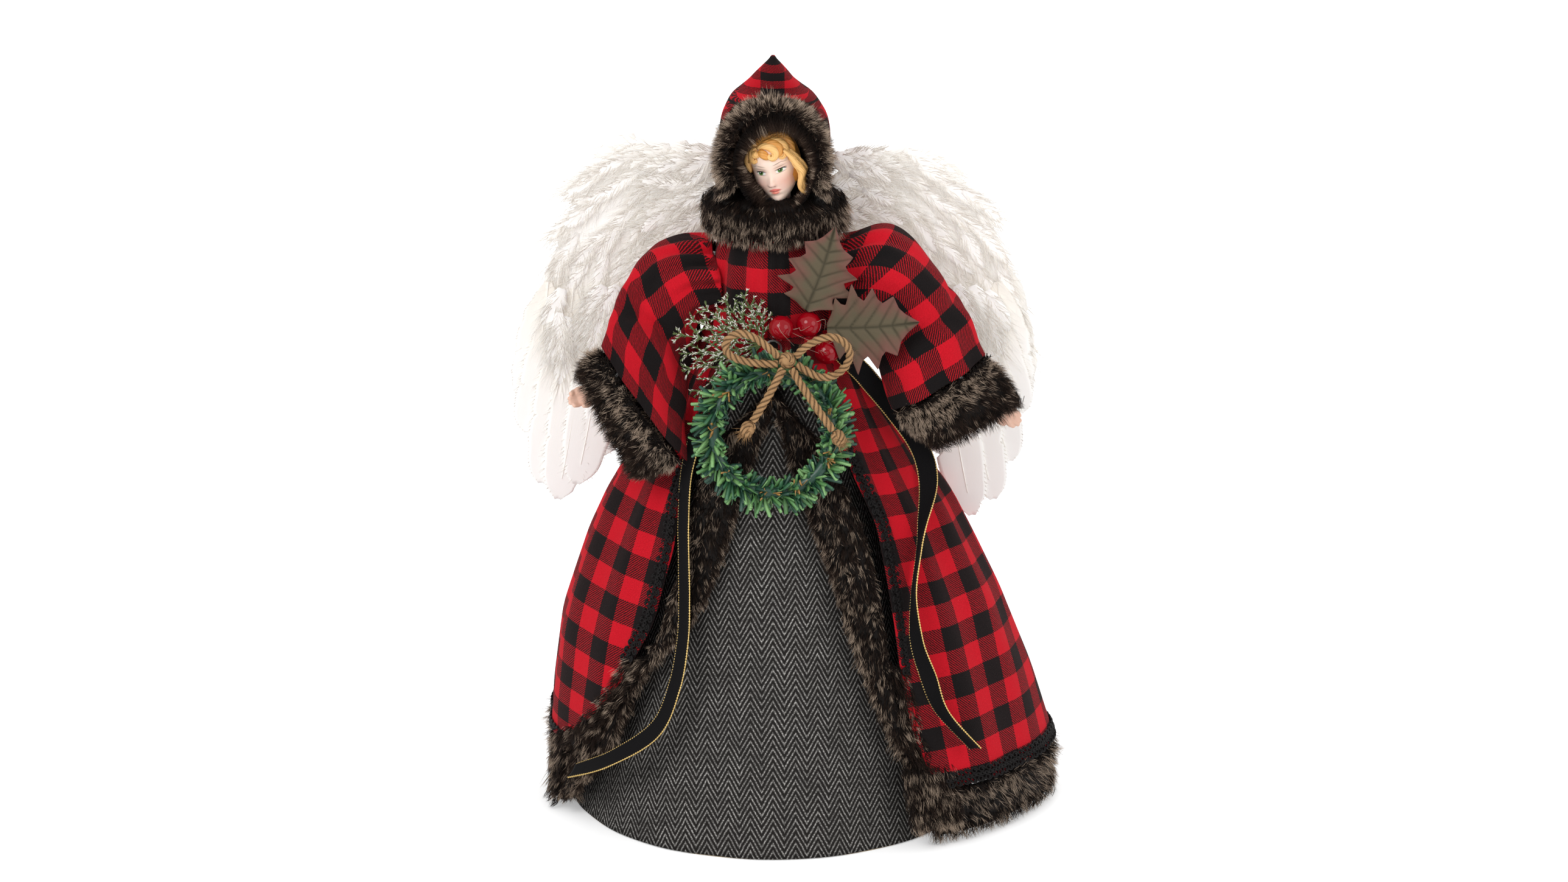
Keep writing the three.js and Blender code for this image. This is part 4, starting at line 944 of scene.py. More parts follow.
def curve(table, value, eased=0.02):
    """A table looked up with its corners eased."""
    table = np.asarray(table, float)
    steps = np.linspace(-eased, eased, 7)
    return np.mean([np.interp(value + step, table[:, 0], table[:, 1]) for step in steps], axis=0)


def around(degrees, height, radius):
    turn = np.radians(degrees)
    return stacked(radius * np.sin(turn), -radius * np.cos(turn), height)


def skirt_radius(height):
    return mix(skirt_hem_radius, skirt_top_radius, np.clip(height / waist_height, 0, 1))


def coat_radius(degrees, height):
    """How far the coat stands off the middle line: the cone and a flare below, the chest above the waist."""
    share = np.clip(height / waist_height, 0, 1)
    across, along = np.sin(np.radians(degrees)), np.cos(np.radians(degrees))
    flare = np.where(
        across > 0, coat_flares["right"] * curve(flare_shares["right"], share),
        coat_flares["left"] * curve(flare_shares["left"], share),
    )
    back = coat_flares["back"] * curve(flare_shares["right"], share) * np.maximum(0, -along) ** 2
    low = skirt_radius(height) + coat_standoff + flare * np.abs(across) ** 3 + back
    chest = chest_radius * curve(chest_shares, (height - waist_height) / chest_height)
    return np.where(height >= waist_height, chest, low)


def hem_height(degrees):
    """The hem's height round the coat, higher at the left than at the front and the back."""
    across, along = np.sin(np.radians(degrees)), np.cos(np.radians(degrees))
    left = np.where(across < 0, across ** 2, 0)
    low = mix(hem_heights["front"], hem_heights["back"], (1 - along) / 2)
    return mix(low, hem_heights["left"], left)


def coat_place(up, across):
    """Angle and height of a point on the coat: up from 0 at the hem, across from 0 at the right edge."""
    degrees = np.full(np.broadcast(up, across).shape, 180.0)
    for _ in range(8):
        height = mix(hem_height(degrees), coat_top, up)
        right = curve(edge_shares["right"], height / waist_height)
        left = curve(edge_shares["left"], height / waist_height)
        degrees = right + (360 - left - right) * across
    return degrees, height


def coat_point(degrees, height, across):
    """A point on the coat's outer face, with its long folds, its gathers and its soft waves."""
    fade = np.clip(1 - height / (waist_height * 0.86), 0, 1)
    calm = np.clip(np.minimum(across, 1 - across) / 0.14, 0, 1)
    turn = np.radians(degrees)
    fold = coat_fold_depth * fade * calm * np.sin(turn * coat_fold_count)
    long = np.interp(height / waist_height, (0, 0.3, 0.6, 0.9, 1, 1.08), (0.35, 0.9, 1.5, 2.1, 1.2, 0.5)) * mm
    swing = np.sin(turn * 26 + 2 * np.sin(turn * 3 + 1) + 1.1 * np.sin(turn * 7))
    swing = swing * (0.65 + 0.35 * np.sin(turn * 5 + 2))
    soft = 1.2 * mm * ease(height, 0, 0.9 * waist_height) * np.sin(turn * 14 + height * 18)
    proud = fold + long * (swing - 0.35) + soft * calm
    return around(degrees, height, coat_radius(degrees, height) + proud)


def cone_cloth(degrees, radius, slope):
    """Place on a flat cloth that is rolled into a cone, with its grain down the cone's front."""
    reach = radius / math.sin(slope)
    turn = np.radians(degrees) * math.sin(slope)
    return stacked(reach * np.sin(turn), -reach * np.cos(turn))


def offset_grid(grid, depth):
    """The grid moved inwards, square to itself."""
    across = np.gradient(grid, axis=1)
    up = np.gradient(grid, axis=0)
    facing = unit(np.cross(across, up))
    outward = unit(grid * (1, 1, 0))
    flip = np.sign(np.sum(facing * outward, axis=-1, keepdims=True))
    return grid - facing * flip * depth


def cloth_piece(name, grid, uv, thick, material, slot, replaced):
    heap = Heap()
    heap.add_shell(grid, offset_grid(grid, thick), uv)
    return heap.piece(name, material, slot, "doll", [replaced])


def make_skirt():
    """One herringbone cloth laid flat and rolled round the cone, joined at the back."""
    rows, columns = 70, 240
    degrees = np.linspace(-180, 180, columns)[None]
    height = np.linspace(0.6 * mm, waist_height - 4 * mm, rows)[:, None]
    fade = ease(1 - height / waist_height, 0.1, 0.9)
    turn = np.radians(degrees + 180)
    wave = np.sin(turn * 8 + 0.7) + 0.6 * np.sin(turn * 15 + height * 12)
    radius = skirt_radius(height) - 0.4 * mm + 0.45 * mm * fade * wave
    grid = around(degrees, height, radius)
    uv = cone_cloth(np.broadcast_to(degrees, radius.shape), skirt_radius(height), skirt_slope)
    made = cloth_piece("skirt_cloth", grid, uv, skirt_cloth, tweed_material, "tweed", "skirt")


def cut_armholes(piece):
    """Round holes for the arms, along one line from side to side."""
    bpy.ops.object.select_all(action="DESELECT")
    bpy.ops.mesh.primitive_cylinder_add(
        vertices=32, radius=armhole_radius, depth=0.12, location=(0, 0, armhole_height),
        rotation=(0, math.pi / 2, 0),
    )
    cutter = bpy.context.object
    cutting = piece.modifiers.new("armholes", "BOOLEAN")
    cutting.operation = "DIFFERENCE"
    cutting.object = cutter
    cutting.solver = "EXACT"
    bpy.context.view_layer.objects.active = piece
    bpy.ops.object.modifier_apply(modifier=cutting.name)
    bpy.data.objects.remove(cutter)
    bpy.ops.object.select_all(action="DESELECT")


def make_coat():
    """Four panels: a skirt and a bodice on each side. The check runs level, gathered at the waist."""
    rise = (waist_height - hem_heights["front"]) / (coat_top - hem_heights["front"])
    for side, start in (("right", 0), ("left", 1)):
        across = np.linspace(start, 0.5, panel_columns)[None]
        up = np.linspace(-0.004, rise, coat_skirt_rows)[:, None]
        degrees, height = coat_place(up, across)
        grid = coat_point(degrees, height, across)
        edge = curve(edge_shares[side], height[:, :1] / waist_height)
        radius = coat_radius((edge + grain_line) / 2 * side_sign[side], height[:, :1])
        wide = np.radians(edge - grain_line) * radius + grid_reach(grid, 1)
        uv = stacked(wide * curve(gather_shares, height / waist_height), grid_reach(grid, 0) + 4 * mm)
        made = cloth_piece(f"coat_skirt_{side}", grid, uv, coat_cloth, plaid_material, "plaid", "coat_body")
        up = np.linspace(rise, 1, bodice_rows)[:, None]
        degrees, height = coat_place(up, across)
        grid = coat_point(degrees, height, across)
        turn = np.where(degrees > 180, degrees - 360, degrees) if side == "right" else degrees - 360
        uv = stacked(np.radians(turn) * chest_radius + 3 * mm, height)
        made = cloth_piece(f"bodice_{side}", grid, uv, coat_cloth, plaid_material, "plaid", "coat_body")
        cut_armholes(made)


make_skirt()
make_coat()


# Braid


def gimp_motif(turns):
    """One scroll of the gimp, which curls in as it goes round. Unit size."""
    angle = np.linspace(0, 2 * math.pi * turns, 19)
    size = mix(1, 0.34, angle / angle[-1])
    return stacked(size * np.cos(angle), size * np.sin(angle))


def lay_braid(heap, path, out, across, width):
    """Curling scrolls along both sides of a plaited middle. Each point of the path has its own directions."""
    reach = path_reach(path)
    total = reach[-1]
    count = int(total / gimp_pitch)

    def place(distance, sideways, lift):
        distance = np.clip(distance, 0, total)
        spots = [stacked(*[np.interp(distance, reach, rows[:, axis]) for axis in range(3)])
                 for rows in (path, across, out)]
        return spots[0] + spots[1] * sideways[..., None] + spots[2] * lift[..., None]

    fine = np.linspace(0, total, count * 9)
    for phase in range(2):
        swing = 2 * math.pi * (fine / (gimp_pitch * 1.15) + phase / 2)
        cord = place(fine, 0.8 * mm * np.sin(swing), 0.4 * mm * np.cos(2 * swing))
        heap.add(*tube(cord, 0.6 * mm, 5))
    scroll = gimp_motif(1.3)
    for at in range(count):
        middle = (at + 0.5) * total / count
        for side in (-1, 1):
            shift = 0.5 * gimp_pitch if side > 0 else 0
            distance = middle + shift + scroll[:, 0] * 0.44 * gimp_pitch
            sideways = side * (width * 0.29 + scroll[:, 1] * 0.4 * gimp_pitch)
            lift = 0.3 * mm * np.cos(np.linspace(0, 7, len(scroll)))
            heap.add(*tube(place(distance, sideways, lift), 0.5 * mm, 5))


def make_braids():
    """Gimp along both front edges and round the hem, laid square to the cloth."""
    tall = coat_top - hem_heights["front"]
    low = {"left": 56 * mm / tall, "right": 58 * mm / tall}
    top = (waist_height - hem_heights["front"] - 36 * mm) / tall
    edge_points, hem_points = 160, 560
    for side in side_sign:
        up = np.linspace(low[side], top, edge_points)
        degrees, height = coat_place(up, np.full(edge_points, 0.0 if side == "right" else 1.0))
        half_turn = np.degrees(gimp_width * 0.36 / coat_radius(degrees, height))
        degrees = degrees + (half_turn if side == "right" else -half_turn)
        path = coat_point(degrees, height, 0.0)
        outward = unit(path * (1, 1, 0))
        path = path + outward * gimp_lift
        across = unit(np.cross(unit(np.gradient(path, axis=0)), outward))
        heap = Heap()
        lay_braid(heap, path, outward, across, gimp_width)
        heap.piece(f"gimp_{side}", gimp_material, "braid", "doll", [f"coat_braid_{side}"])
    part = np.linspace(0.012, 0.985, hem_points)
    above, here, below = [coat_point(*coat_place(np.full(hem_points, height * mm / tall), part), part)
                          for height in (5, 2.4, -0.2)]
    along = unit(np.gradient(here, axis=0))
    across = unit(above - below)
    outward = np.cross(along, across)
    outward = outward * np.sign(np.sum(outward * here * (1, 1, 0), axis=1, keepdims=True))
    heap = Heap()
    lay_braid(heap, here + outward * gimp_lift, outward, across, gimp_width)
    heap.piece("gimp_hem", gimp_material, "braid", "doll", ["coat_braid_hem"])


make_braids()


# Ribbons


ribbon_shares = {
    "left": [
        (-44.8, 0.792, -10), (-43.5, 0.729, -12), (-39.5, 0.651, -16), (-36.5, 0.588, -20),
        (-33.5, 0.511, -22), (-31.5, 0.433, -25), (-31.8, 0.34, -25), (-35.8, 0.25, -27), (-48, 0.176, -40),
        (-61.2, 0.122, -52),
    ],
    "right": [
        (48, 0.985, 40), (60, 0.94, 40), (68.5, 0.901, 42), (77, 0.832, 45), (77.5, 0.754, 60),
        (70.2, 0.695, 92), (59.5, 0.626, 125), (54.8, 0.574, 134), (49, 0.498, 126), (46.2, 0.418, 96),
        (47, 0.349, 78), (48.5, 0.277, 86), (55.2, 0.187, 96),
    ],
}


def make_ribbons():
    """Velvet ribbons that twist as they fall: each row gives an angle, a height share and the twist there."""
    for side, rows in ribbon_shares.items():
        degrees, up, twist = np.array(rows, float).T
        height = up * waist_height
        base = around(degrees, height, coat_radius(degrees, height) + 2.4 * mm)
        path = smooth_path(np.column_stack([base, np.radians(twist) * mm]), 170)
        twist = path[:, 3:] / mm
        path = path[:, :3]
        along = unit(np.gradient(path, axis=0))
        outward = unit(path * (1, 1, 0))
        level = unit(np.cross(along, outward))
        outward = unit(np.cross(level, along))
        path = path + outward * (1 * mm + ribbon_width / 2 * np.abs(np.sin(twist)))
        across = level * np.cos(twist) + outward * np.sin(twist) * -side_sign[side]
        steps = np.linspace(-1, 1, 13)
        curl = np.cross(across, along)[:, None] * (0.5 * mm * steps[None, :, None] ** 2)
        grid = path[:, None] + across[:, None] * steps[None, :, None] * ribbon_width / 2 + curl
        reach = path_reach(path)
        facing = np.cross(across, along)[:, None]
        heap = Heap()
        heap.add_shell(grid, grid - facing * 0.6 * mm, stacked(steps * ribbon_width / 2, reach[:, None]))
        made = heap.piece(f"ribbon_{side}", velvet_material, "velvet_ribbon", "doll", [f"{side}_ribbon"])
        edges = Heap()
        for column in (0, -1):
            beads = smooth_path(grid[:, column] - facing[:, 0] * 0.3 * mm, 520)
            swell = 0.42 * mm * (1 + 0.45 * np.sin(path_reach(beads) * 2 * math.pi / (1.4 * mm)))
            edges.add(*tube(beads, swell, 6, 2 * math.pi / (3 * mm), 2, 0.3))
        wires = edges.piece(f"ribbon_wire_{side}", gold_material, "velvet_ribbon", "doll")


make_ribbons()


# Fur

pile_counts = {
    "hood_pile": 12600, "collar_pile": 14600, "hem_pile": 17500, "front_pile_left": 12200,
    "front_pile_right": 12600, "cuff_pile_left": 14500, "cuff_pile_right": 14500,
}
# Two layers of pile, each with a share of the strands, their rings, their width and their length
pile_layers = ((0.62, 2, 0.3 * mm, 1), (0.72, 1, 0.32 * mm, 0.74))
pile_lift = 0.6
pile_proud = 0.6 * mm
backing_mark = (0, 0.2, 0)
brow_reach = [
    (-64, 5), (-30, 4), (0, 7), (45, 10), (90, 15), (135, 11), (180, 6.5), (205, 8.5), (225, 11), (244, 11),
]


def pull_together(roots, tips, share, size):
    """Bends each strand's tip towards its tuft's. Returns the bend, and a chance that each tuft shares."""
    count = max(1, int(len(roots) / size))
    chosen = rng.choice(len(roots), count, replace=False)
    tree = KDTree(count)
    for at, index in enumerate(chosen):
        tree.insert(roots[index], at)
    tree.balance()
    near = np.array([tree.find(root)[1] for root in roots])
    return (tips[chosen][near] - tips) * share, rng.random(count)[near]


def add_tufts(heap, roots, along, sizes, width, shade, pull_share, tuft, rings=2):
    """Adds strands whose tips draw together in tufts."""
    pull, chance = pull_together(roots, roots + along * sizes[:, None], pull_share, tuft)
    heap.add(*on_floor(strands(roots, along, sizes, width, pull / sizes[:, None], chance, shade, rings)))


def make_fur(name, node, body, pile, comb, shade, sink=4 * mm, added=None):
    """Long pile over a solid: comb gives the way it lies and shade how many of its tips are pale."""
    heap = Heap()
    for share, rings, wide, long in pile_layers:
        number = int(pile_counts[name] * share)
        roots, facing = skin_points(node, number)
        drift = ripple(roots, 18 * mm, len(name)) * 0.22 + ripple(roots, 7 * mm, len(name) + 5) * 0.25
        way = facing * pile_lift + comb(roots, facing) + drift
        along = unit(way + rng.normal(size=(number, 3)) * 0.17)
        pale = np.clip(shade(roots) + ripple(roots, 6 * mm, len(name) + 9)[:, 1] * 0.12, 0, 0.9)
        sizes = pile * long * rng.uniform(0.7, 1.15, (number, 1))
        rise = sizes * np.maximum(np.sum(along * facing, axis=1, keepdims=True), 0)
        deep = sink * rng.uniform(0.7, 1, (number, 1))
        depth = np.maximum(deep, rise - pile_proud * rng.uniform(0, 3.2, (number, 1)))
        roots = roots - facing * depth
        tips = roots + along * sizes
        pull, chance = pull_together(roots, tips, 0.55, 9)
        bend = pull / sizes + rng.normal(size=(number, 3)) * 0.06
        chance = np.clip(mix(rng.random(number), chance, 0.6), 0, 1)
        width = wide * (0.85 + 0.5 * ease(chance + pale, 0.86, 1.14))
        heap.add(*on_floor(strands(roots, along, sizes[:, 0], width, bend, chance, pale, rings)))
    if added:
        added(heap)
    heap.add(*shrunk_solid(node, sink * 0.9), None, backing_mark)
    made = heap.piece(name, fur_material, "faux_fur", body, [node])


def on_floor(made):
    """Strands that would reach below the floor lie on it."""
    made[0][:, 2] = np.maximum(made[0][:, 2], 0.4 * mm)
    return made


hood_ring_place = np.array((0, -18, 363.4)) * mm


def hood_comb(roots, facing):
    out = unit((roots - hood_ring_place) * (1, 0, 1))
    inward = np.clip(-np.sum(facing * out, axis=1, keepdims=True), 0, 1)
    return out * (0.8 - 1.75 * inward) + np.array((0, -0.2, 0)) * (1 + inward)


def hood_shade(roots):
    out = np.linalg.norm((roots - hood_ring_place) * (1, 0, 1.15), axis=1)
    return ease(out, 22 * mm, 29.5 * mm) * 0.42 + 0.06


def line_hood(heap):
    """Dark pile combed in round the face, longest over the brow and under the left cheek."""
    count = 7600
    degrees = rng.uniform(-64, 244, count)
    turn = np.radians(degrees)
    spoke = stacked(np.cos(turn), 0, np.sin(turn))
    depth = rng.uniform(-27, -10, count) * mm
    climb = spoke[:, 2] ** 2
    size = np.where(spoke[:, 2] > 0, 22.5 + 5 * climb, 24 + 7 * climb)
    roots = np.array((1.8, 0, 356.5)) * mm + spoke * stacked(22.5, 0, size) * mm
    roots[:, 1] += depth
    along = unit(-spoke + np.array((0, -0.3, 0)) + rng.normal(size=(count, 3)) * 0.24)
    sizes = np.interp(degrees, *zip(*brow_reach)) * mm * rng.uniform(0.7, 1.05, count)
    add_tufts(heap, roots, along, sizes, 0.32 * mm, 0.08, 0.4, 9)


def hang_collar(heap):
    """Ragged pale pile that hangs from the collar's lower edge, longest at the right shoulder."""
    count = 6400
    degrees = rng.uniform(-100, 110, count)
    height = rng.uniform(315.5, 330, count) * mm
    roots = around(degrees, height, rng.uniform(31, 36.8, count) * mm)
    out = unit(roots * (1, 1, 0))
    right = ease(degrees, 50, 85)[:, None]
    along = unit(out * (0.14 + 0.5 * right) + np.array((0, 0, -0.9)) + rng.normal(size=(count, 3)) * 0.22)
    sizes = rng.uniform(5, 8.5, count) * mm * (1 + 0.35 * right[:, 0])
    add_tufts(heap, roots, along, sizes, 0.34 * mm, 0.5, 0.5, 9)


def collar_comb(roots, facing):
    out = unit(roots * (1, 1, 0))
    top = ease(roots[:, 2:], 329 * mm, 336 * mm)
    return out * 0.35 + np.array((0, 0, -0.8)) * (1 + 0.6 * top)


def collar_shade(roots):
    low = 1 - ease(roots[:, 2], 318 * mm, 333 * mm)
    return low * 0.5 + 0.16


def hem_comb(roots, facing):
    out = unit(roots * (1, 1, 0))
    return out * 0.3 + np.array((0, 0, -0.75))


def hem_shade(roots):
    return 0.56 + ripple(roots, 16 * mm, 6)[:, 0] * 0.2


def front_comb(side):
    def comb(roots, facing):
        out = unit(roots * (1, 1, 0))
        sideways = np.cross(out, np.array((0, 0, 1))) * side_sign[side]
        return np.array((0, 0, -0.8)) + sideways * 0.15
    return comb


def front_shade(roots):
    return 0.34 + ripple(roots, 12 * mm, 8)[:, 0] * 0.25


def fill_corner(heap):
    """The tufts that join the right front fur to the hem fur, and cover the coat's right edge above them."""
    count = 2600
    degrees = rng.uniform(38, 51, count)
    height = rng.uniform(14, 44, count) * mm
    depth = rng.uniform(0, 6, count) * mm
    roots = around(degrees, height, coat_radius(degrees, height) + 1 * mm - depth)
    out = unit(roots * (1, 1, 0))
    along = unit(out * 0.35 + np.array((0.05, 0, -0.85)) + rng.normal(size=(count, 3)) * 0.22)
    add_tufts(heap, roots, along, rng.uniform(6, 10, count) * mm, 0.32 * mm, 0.4, 0.6, 10)
    foot = around(44.5, 27 * mm, coat_radius(44.5, 27 * mm) - 9 * mm)
    heap.add(*ball(foot, np.array((6, 4.5, 12)) * mm, 20, 12), None, backing_mark)
    cover_edge(heap, "right", 1700, 34, 96, (-2, 2.5), (-0.1, 0.3))


def cover_left_edge(heap):
    cover_edge(heap, "left", 4200, 6, 98, (-2.5, 5), (0.1, 0.75))
    for degrees, height, half in ((-78, 32, (5, 9, 13)), (-79, 14, (5, 9, 11)), (-70, 46, (5, 6, 10))):
        foot = around(degrees, height * mm, coat_radius(degrees, height * mm) - 6 * mm)
        heap.add(*ball(foot, np.array(half) * mm, 16, 10), None, backing_mark)


def cover_edge(heap, side, count, low, high, reach, drift):
    """Fur that lies out over a front edge of the coat, between two heights in millimetres."""
    height = mix(low, high, rng.random(count) ** 0.85) * mm
    edge = curve(edge_shares[side], height / waist_height)
    degrees = (edge - rng.uniform(*reach, count)) * side_sign[side]
    roots = around(degrees, height, coat_radius(degrees, height) + rng.uniform(-5, 0.6, count) * mm)
    out = unit(roots * (1, 1, 0))
    inward = np.cross(out, np.array((0, 0, 1))) * side_sign[side] * -1
    foot = 1 - ease(height, 25 * mm, 55 * mm)
    along = unit(out * 0.42 + inward * rng.uniform(*drift, (count, 1)) + np.array((0, 0, -0.55))
                 - np.array((0, 0, 0.6)) * foot[:, None] + rng.normal(size=(count, 3)) * 0.24)
    sizes = rng.uniform(5, 9, count) * mm * (1 + 0.3 * foot)
    add_tufts(heap, roots, along, sizes, 0.34 * mm, 0.22 + 0.22 * foot, 0.6, 12)


def make_all_fur():
    make_fur("hood_pile", "hood_fur", "doll", 9 * mm, hood_comb, hood_shade, added=line_hood)
    make_fur("collar_pile", "fur_collar", "doll", 11 * mm, collar_comb, collar_shade, added=hang_collar)
    make_fur("hem_pile", "coat_fur_hem", "doll", 9.5 * mm, hem_comb, hem_shade)
    for side, added in (("left", cover_left_edge), ("right", fill_corner)):
        make_fur(f"front_pile_{side}", f"coat_fur_front_{side}", "doll", 7.5 * mm, front_comb(side),
                 front_shade, sink=3 * mm, added=added)


make_all_fur()


# Arms


def shoulder(side):
    """The middle of the arm's round top, inside the armhole."""
    return np.array((side_sign[side] * 37.6 * mm, 0, waist_height + shoulder_rise))


def arm_rings(side, rows, turns):
    """Rings of an arm's cloth, each from its back round to its back, and the middle of each ring."""
    rows = np.asarray(rows)
    turn, tip = np.radians(rows[:, 5]), np.radians(rows[:, 6])
    up = stacked(np.cos(turn) * np.cos(tip), np.sin(tip), np.sin(turn) * np.cos(tip))
    back = unit(np.array((0, 1, 0)) - up * up[:, 1:2])
    centre = rows[:, :3] * arm_length + shoulder(side)
    long = up * rows[:, 3:4] * arm_length
    deep = back * rows[:, 4:5] * arm_length
    angle = np.linspace(0, 2 * math.pi, turns)[None, :, None]
    return centre[:, None] + np.sin(angle) * long[:, None] + np.cos(angle) * deep[:, None], centre


def make_sleeve(side):
    """A puffed sleeve: gathered into the armhole, full over the upper arm, creased at the elbow."""
    sign = side_sign[side]
    stations, turns = 102, 143
    rows = smooth_rows(sleeve_shares[side], stations)
    part = np.linspace(0, 1, stations)
    rows[:, 3:5] *= (1 + 0.09 * hump(part, 0.26, 0.17) - 0.12 * np.exp(-part / 0.05))[:, None]
    grid, centre = arm_rings(side, rows, turns)
    part = part[:, None]
    angle = np.linspace(0, 2 * math.pi, turns)[None]
    out = unit(grid - centre[:, None])
    gather = 2.6 * mm * np.exp(-part / 0.19) * (np.sin(angle * 12 + 1.3 * np.sin(angle * 3)) - 0.3)
    gather = gather + 1.5 * mm * np.exp(-part / 0.13) * np.sin(angle * 21 + 1 + 2 * np.sin(angle * 2))
    puff = 1.1 * mm * np.sin(part * math.pi) * np.sin(angle * 4 + part * 5 + sign)
    wrinkle = 1.1 * mm * ripple(grid.reshape(-1, 3), 30 * mm, 20 + sign)[:, 0].reshape(stations, turns)
    valley = 0.62 + 0.13 * np.sin(angle + (0.9 if side == "left" else -0.7))
    inner_side = ease(np.sin(angle - 0.5 * math.pi + (0.5 * sign)), -0.3, 0.5)
    crease = -3.5 * mm * hump(part, valley, 0.05) * inner_side
    crease = crease + 1.3 * mm * hump(part, valley + 0.1, 0.06)
    cuff_fold = 1.2 * mm * ease(part, 0.6, 1) * np.sin(angle * 7 + 0.8)
    proud = gather + puff + wrinkle + crease + cuff_fold
    grid = grid + out * (proud * ease(part, 0, 0.05))[..., None]
    first = ease(part, 0, 0.12)
    body_radius = coat_radius(90.0, grid[..., 2]) + 0.8 * mm
    seat = np.sqrt(np.maximum(body_radius ** 2 - grid[..., 1] ** 2, (12 * mm) ** 2))
    grid[..., 0] = np.where(first < 1, sign * mix(seat, np.abs(grid[..., 0]), first), grid[..., 0])
    girth, long = grid_reach(grid, 1), grid_reach(grid, 0)
    heap = Heap()
    heap.add_shell(grid, grid - unit(grid - centre[:, None]) * 1.9 * mm,
                   stacked(girth - girth[:, -1:] / 2 + 3 * mm, long[-1:] - long + 5 * mm))
    made = heap.piece(f"sleeve_cloth_{side}", plaid_material, "plaid", None, [f"{side}_sleeve"])
    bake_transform(made)


cuff_axes = {"left": np.array((-0.55, 0.02, -0.4)), "right": np.array((0.62, -0.1, -0.75))}


def make_cuff(side):
    axis = unit(cuff_axes[side])
    middle = np.mean(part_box(f"{side}_cuff_fur"), axis=0)

    def comb(roots, facing):
        return axis * 0.62

    def shade(roots):
        back = -((roots - middle) @ axis)
        return ease(back, -3 * mm, 8 * mm) * 0.6 + 0.16

    make_fur(f"cuff_pile_{side}", f"{side}_cuff_fur", f"{side}_arm", 8.5 * mm, comb, shade, sink=2.6 * mm)


def voxel_finish(piece, size, passes):
    """Joins a piece's overlapping forms into one skin, and smooths it."""
    bpy.ops.object.select_all(action="DESELECT")
    bpy.context.view_layer.objects.active = piece
    piece.select_set(True)
    remesh = piece.modifiers.new("remesh", "REMESH")
    remesh.mode = "VOXEL"
    remesh.voxel_size = size
    bpy.ops.object.modifier_apply(modifier=remesh.name)
    smoothing = piece.modifiers.new("smooth", "SMOOTH")
    smoothing.factor = 0.5
    smoothing.iterations = passes
    bpy.ops.object.modifier_apply(modifier=smoothing.name)
    piece.data.shade_smooth()
    bpy.ops.object.select_all(action="DESELECT")


def make_hand(side):
    """A cupped hand: each limb runs through places given ahead, across and over from the wrist."""
    sign = side_sign[side]
    wrist = wrist_shares[side] * np.full(3, arm_length) + shoulder(side)
    ahead = unit(hand_directions[side])
    across = unit(np.cross(ahead, (0, -1, 0.35))) * sign
    over = unit(np.cross(across, ahead))
    heap = Heap()

    def limb(rows, radius):
        path = [wrist + (ahead * a + across * b + over * c) * mm for a, b, c in rows]
        swell = np.interp(np.linspace(0, 1, 16), np.linspace(0, 1, len(radius)), np.array(radius) * mm)
        heap.add(*tube(smooth_path(path, 16), swell, 10))
        heap.add(*ball(path[-1], np.full(3, radius[-1] * mm * 1.02), 10, 8))

    limb([(-9.5, 0, 0), (-5, 0, 0), (-1, 0, 0)], (3, 3.1, 3.6))
    limb([(-2, 1.6, 0), (4.5, 2.2, 0.2)], (3, 2.8))
    limb([(-2, -1.6, 0), (4.5, -2.4, 0.2)], (3, 2.7))
    for aside, reach, drop in ((3.6, 9.6, 2.6), (1.3, 11, 2.2), (-1.1, 10.6, 2.4), (-3.3, 9, 3)):
        limb([(3.5, aside * 0.8, 0), (7, aside, -0.2), (reach, aside * 0.92, -drop)], (1.6, 1.45, 1.15))
    limb([(-1, 4, -0.6), (2.5, 5.6, -1.6), (5, 5.2, -3)], (1.9, 1.6, 1.3))
    made = heap.piece(f"hand_{side}", porcelain_material, "porcelain", f"{side}_arm", [f"{side}_hand"])
    voxel_finish(made, hand_voxel, 3)


for side in side_sign:
    make_sleeve(side)
    make_cuff(side)
    make_hand(side)


# Hood

hood_width = 29 * mm
hood_base = 338.2 * mm
hood_rise = 65.8 * mm
hood_front = 7.65 * mm
hood_shares = [
    (0, 0.93, 0.83, 0.1), (0.18, 1, 0.86, 0.09), (0.36, 1.0, 0.86, 0.08), (0.52, 0.95, 0.85, 0.07),
    (0.62, 0.86, 0.83, 0.06), (0.69, 0.74, 0.66, 0.18), (0.74, 0.58, 0.48, 0.26), (0.8, 0.42, 0.37, 0.25),
    (0.86, 0.3, 0.28, 0.24), (0.92, 0.18, 0.18, 0.22), (0.97, 0.08, 0.08, 0.22), (1, 0.035, 0.035, 0.22),
]


